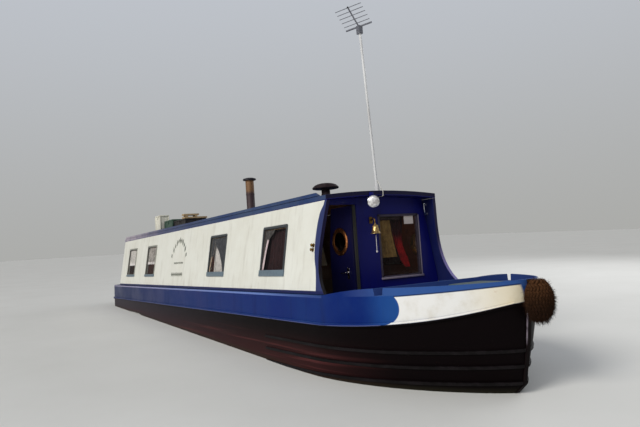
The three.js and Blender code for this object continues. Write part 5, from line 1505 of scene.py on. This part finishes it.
def boarded_box(name, slot, material, lid, boards):
    """A box of upright boards with an overhanging lid, hinged at the port side and latched at starboard."""
    low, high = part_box(name)
    bm = bmesh.new()
    foot = low.z + 0.001
    top = high.z - lid
    rear, front, right, left = low.x + BOX_INSET, high.x - BOX_INSET, low.y + BOX_INSET, high.y - BOX_INSET
    for x0, x1, y0, y1 in (
        (rear, front, right, right + BOARD_THICKNESS),
        (rear, front, left - BOARD_THICKNESS, left),
        (rear, rear + BOARD_THICKNESS, right + BOARD_THICKNESS, left - BOARD_THICKNESS),
        (front - BOARD_THICKNESS, front, right + BOARD_THICKNESS, left - BOARD_THICKNESS),
    ):
        along = 0 if x1 - x0 > y1 - y0 else 1
        start, end = (x0, x1) if along == 0 else (y0, y1)
        count = max(2, round((end - start) / boards))
        for i in range(count):
            a = start + (end - start) * i / count + BOARD_GAP / 2
            b = start + (end - start) * (i + 1) / count - BOARD_GAP / 2
            xs, ys = ((a, b), (y0, y1)) if along == 0 else ((x0, x1), (a, b))
            bottom = max(foot, min(roof_top(ys[0]), roof_top(ys[1])) + 0.0008)
            slab(bm, (xs[0], ys[0], bottom), (xs[1], ys[1], top), 0.0025)
    for x in (rear, front):
        for y in (right, left):
            slab(bm, (x - 0.011, y - 0.011, roof_top(y) + 0.004), (x + 0.011, y + 0.011, top), 0.004)
    slab(bm, (low.x, low.y, top), (high.x, high.y, high.z), 0.006)
    finished(name + "_boards", bm, material, slot, name)
    bm = bmesh.new()
    for share in (0.22, 0.78):
        x = low.x + (high.x - low.x) * share
        strap_end = (x - 0.014, high.y - 0.17, high.z - 0.0002)
        slab(bm, strap_end, (x + 0.014, high.y + 0.001, high.z + 0.003), 0.001)
        sweep(bm, [(x + reach, high.y + 0.004, top + 0.002) for reach in (-0.016, 0.016)], 0.005, 8)
    x = (low.x + high.x) / 2
    slab(bm, (x - 0.013, low.y - 0.0035, top - 0.045), (x + 0.013, right, high.z - 0.006), 0.0015)
    finished(name + "_fittings", bm, material, slot)


boarded_box("roof_locker", "cream_paint", cream_wood, 0.026, 0.11)
boarded_box("pigeon_box", "green_paint", green_wood, 0.030, 0.10)
boarded_box("coal_box", "hull_steel", black_wood, 0.022, 0.12)

# Loose boards: two short sawn boards with battens between them, across the front end of the coal box. They are
# of bare softwood and lie there by their own weight.
plank_wood = wood_material("plank_wood", rgb(214, 190, 146), rgb(150, 122, 86), "y", rough=0.75)
skin("roof_boards", plank_wood, "floor_wood", edge=0.004)


# Headlamp: a chromed bowl with a rolled rim and a ribbed lens over its reflector. It hangs by a stem with a nut
# from a bracket on the roof's edge, and is turned to starboard.
def lens_material():
    material, shader, place, _ = new_material("lamp_lens")
    ribs = put(
        place, "TexWave", {"Vector": place, "Scale": 26.0, "Distortion": 0.6, "Detail": 1.0},
        bands_direction="Y")
    blotch = between(speckle(place, 34, 3.0, 0.6), 0.4, 0.62)
    colour = mix(blotch, rgb(250, 248, 244), rgb(196, 190, 186))
    colour = mix(ribs["Fac"] * 0.3, colour, rgb(116, 116, 122))
    feed(shader, Base_Color=colour, Metallic=0.3, Roughness=0.25, Coat_Weight=0.6, Coat_Roughness=0.08)
    feed(shader, Normal=bump(ribs["Fac"], 0.8, 0.002))
    return material


LAMP = Vector((ROOF_FRONT + 0.034, -0.179, 2.131))
LAMP_TURN = math.radians(-28)
LAMP_FACING = (math.cos(LAMP_TURN), math.sin(LAMP_TURN), 0)
LAMP_STEM = ROOF_FRONT + 0.012
LAMP_BOWL = [
    (0, -0.068), (0.026, -0.066), (0.042, -0.053), (0.055, -0.034), (0.062, -0.012), (0.0655, 0.001),
    (0.069, 0.003), (0.070, 0.008), (0.070, 0.020), (0.0675, 0.025), (0.0645, 0.026), (0.0615, 0.023),
    (0.0610, 0.018), (0.030, 0.004), (0, 0.0)]
bm = bmesh.new()
spun(bm, LAMP_BOWL, LAMP, LAMP_FACING, 48)
finished("headlamp_bowl", bm, chrome, "chrome", "headlamp")
bm = bmesh.new()
sweep(bm, [(LAMP_STEM, LAMP.y, z) for z in (2.161, 2.185, 2.209)], 0.0088, 14)
spun(
    bm, [(0.0088, -0.006), (0.0145, -0.005), (0.0145, 0.005), (0.0088, 0.006)], (LAMP_STEM, LAMP.y, 2.196),
    steps=6)
slab(bm, (ROOF_FRONT + 0.0005, -0.2035, 2.2005), (ROOF_FRONT + 0.0195, -0.1545, 2.2395), 0.003)
for y in (-0.194, -0.164):
    dome(bm, (ROOF_FRONT + 0.0193, y, 2.222), 0.005, 0.003, (1, 0, 0))
finished("headlamp_bracket", bm, navy_paint, "blue_paint")
LAMP_LENS = [
    (0, 0.0365), (0.020, 0.0355), (0.040, 0.0325), (0.056, 0.0275), (0.0622, 0.0215), (0.0622, 0.0195),
    (0.040, 0.026), (0, 0.030)]
bm = bmesh.new()
spun(bm, LAMP_LENS, LAMP, LAMP_FACING, 48)
finished("headlamp_lens", bm, lens_material(), "chrome")

# Bell: cast brass, turned, on a scrolled arm from a screwed plate, with a clapper that
# ends in a ball and an eye.
BELL = Vector((ROOF_FRONT - 0.040, -0.122, 1.773))
BELL_PROFILE = [
    (0, 0.092), (0.022, 0.088), (0.031, 0.066), (0.038, 0.023), (0.047, 0.008), (0.056, 0.0005),
    (0.0605, 0.0), (0.062, 0.0025), (0.0605, 0.006), (0.052, 0.014), (0.0475, 0.020), (0.0485, 0.0225),
    (0.0455, 0.025), (0.0395, 0.045), (0.0355, 0.068), (0.0325, 0.086), (0.0335, 0.089), (0.0305, 0.092),
    (0.026, 0.100), (0.014, 0.106), (0.0125, 0.110), (0.007, 0.1125), (0, 0.1125)]
bm = bmesh.new()
spun(bm, BELL_PROFILE, BELL, steps=40)
finished("bell_casting", bm, brass, "brass", "bell")
bm = bmesh.new()
arm = [
    (-0.190, -0.067, 1.936), (-0.140, -0.079, 1.952), (-0.090, -0.108, 1.954), (-0.046, -0.122, 1.938),
    (-0.040, -0.122, 1.878)]
sweep(bm, smooth_path([(ROOF_FRONT + x, y, z) for x, y, z in arm], 6), 0.0065, 10)
CURL = Vector((ROOF_FRONT - 0.160, -0.073, 1.925))
curl = []
for i in range(15):
    angle = -1.2 + i * 0.36
    size = 0.013 - 0.0006 * i
    curl.append(CURL + Vector((size * math.cos(angle), 0, size * math.sin(angle))))
sweep(bm, curl, 0.004, 8)
slab(bm, (BULKHEAD_FRONT + 0.0004, -0.089, 1.896), (BULKHEAD_FRONT + 0.0098, -0.045, 1.976), 0.003)
for z in (1.906, 1.966):
    dome(bm, (BULKHEAD_FRONT + 0.0096, -0.067, z), 0.005, 0.0025, (1, 0, 0))
sweep(bm, [BELL + Vector((0, 0, h)) for h in (0.094, 0.05, 0.012)], 0.0035, 8)
CLAPPER_PROFILE = [
    (0, -0.0135), (0.003, -0.0125), (0.0045, -0.009), (0.003, -0.005), (0.0075, 0.002), (0.0095, 0.008),
    (0.0075, 0.0145), (0, 0.0175)]
spun(bm, CLAPPER_PROFILE, BELL, steps=18)
finished("bell_arm", bm, old_brass, "brass")

# Stern end of the cabin: a rear bulkhead, two half doors with raised panels and brass knobs, and the hatch that
# slides over them on its runners, with a grab bar.
STERN_BLUES = (rgb(20, 40, 116), rgb(60, 86, 150), rgb(52, 50, 66), 0.5, 0.4, 0.4)
REAR_LINING = ROOF_FRONT - 9.064
REAR_DOOR_FACE = ROOF_FRONT - 9.098
REAR_DOOR_LINING = REAR_DOOR_FACE + 0.020
stern_blue = paint_material("stern_blue", *STERN_BLUES, inside=lambda x: step_at(x, REAR_LINING))
skin("rear_bulkhead", stern_blue, "blue_paint", edge=0.004)
door_blue = paint_material("door_blue", *STERN_BLUES, inside=lambda x: step_at(x, REAR_DOOR_LINING))
hatch_blue = paint_material("hatch_blue", *STERN_BLUES)
panel_cream = paint_material(
    "panel_cream", rgb(226, 222, 204), rgb(204, 200, 182), rgb(140, 124, 100), 0.5, 0.4, 0.3)
for side, end in SIDES.items():
    node = "rear_door_" + end
    skin(node, door_blue, "blue_paint", body=node, edge=0.004)
    inner, outer = sorted((side * 0.040, side * 0.268))
    bm = bmesh.new()
    for z0, z1 in ((1.290, 1.640), (1.710, 2.080)):
        for depth, inset, back, edge in ((0.0058, 0, 0.001, 0.0025), (0.0090, 0.022, -0.004, 0.0024)):
            low = (REAR_DOOR_FACE - depth, inner + inset, z0 + inset)
            slab(bm, low, (REAR_DOOR_FACE + back, outer - inset, z1 - inset), edge)
    finished(node + "_panels", bm, panel_cream, "cream_paint", body=node)
    bm = bmesh.new()
    spun(bm, KNOB, (REAR_DOOR_FACE, side * 0.021, 1.675), (-1, 0, 0), 20)
    strap = sorted((side * 0.18, side * 0.296))
    for z in (1.400, 1.980):
        low = (REAR_DOOR_FACE - 0.0035, strap[0], z - 0.018)
        slab(bm, low, (REAR_DOOR_FACE - 0.0002, strap[1], z + 0.018), 0.0012)
    finished(node + "_brass", bm, brass, "brass", body=node)
skin("sliding_hatch", hatch_blue, "blue_paint", body="sliding_hatch", edge=0.005)
hatch_low, hatch_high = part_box("sliding_hatch")
bm = bmesh.new()
bar = [(-0.11, 0.0), (-0.11, 0.034), (0.11, 0.034), (0.11, 0.0)]
sweep(bm, smooth_path([(hatch_low.x + 0.10, y, hatch_high.z - 0.003 + h) for y, h in bar], 5), 0.0075, 10)
for y in (-0.11, 0.11):
    spun(
        bm, [(0.018, -0.003), (0.018, 0.003), (0.009, 0.006), (0, 0.006)],
        (hatch_low.x + 0.10, y, hatch_high.z - 0.001), steps=16)
finished("hatch_grab_bar", bm, brass, "brass", body="sliding_hatch")

# Inside the cabin: floor and steps of varnished boards, screwed down, and the engine, a plain casting in
# grey-green paint on the baseplate.
floor_boards = wood_material("floor_boards", rgb(150, 114, 74), rgb(96, 68, 42), "x", boards=0.12)
cad_nodes["cabin_floor"].material_slots[0].material = floor_boards
skin("front_steps", floor_boards, "floor_wood", edge=0.006)
engine_paint = paint_material(
    "engine_paint", rgb(70, 88, 78), rgb(100, 118, 106), rgb(36, 32, 28), 0.5, 0.7, 0.5)
skin("engine", engine_paint, "engine_metal", edge=0.012)

# Steering gear and propeller: rusty blade and stock, a curved arm, a brass tiller with a turned wooden grip,
# and a bronze propeller.
rudder_steel = worn_bar_material("rudder_steel", rgb(46, 40, 40), rgb(132, 126, 122), 0.35)
skin("rudder", rudder_steel, "bare_steel", body="steering", smooth=35, edge=0.003)


GRIP_LENGTH = 0.176


def tiller_material():
    material, shader, place, (x, _, _) = new_material("tiller_finish")
    grip = step_at(x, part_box("tiller")[0].x + GRIP_LENGTH)
    tarnish = between(speckle(place, 22, 5.0, 0.65), 0.42, 0.7)
    metal = mix(tarnish, rgb(214, 166, 84), rgb(124, 84, 40))
    grain = speckle(place, 60, 5.0, 0.6, (0.1, 1, 1))
    colour = mix(grip, metal, mix(grain, rgb(118, 66, 34), rgb(62, 34, 20)))
    feed(shader, Base_Color=colour, Metallic=1 - grip, Roughness=0.32)
    feed(shader, Normal=bump(grain, 0.2, 0.0006))
    return material


skin("tiller", tiller_material(), "brass", body="steering", smooth=40, edge=0.003)
bronze = worn_bar_material("bronze", rgb(122, 88, 50), rgb(206, 160, 90), 0.6)
skin("propeller", bronze, "brass", body="propeller", smooth=40, edge=0.002)

# Stern fender: the same coir work, a wide low button round the counter, stitched in fewer and thicker rows than
# the one at the bow.
rope_button("stern_fender_rope", "stern_fender", -1, 0.250, 6, 26, 0.0135, 2200, 0.040, 9)
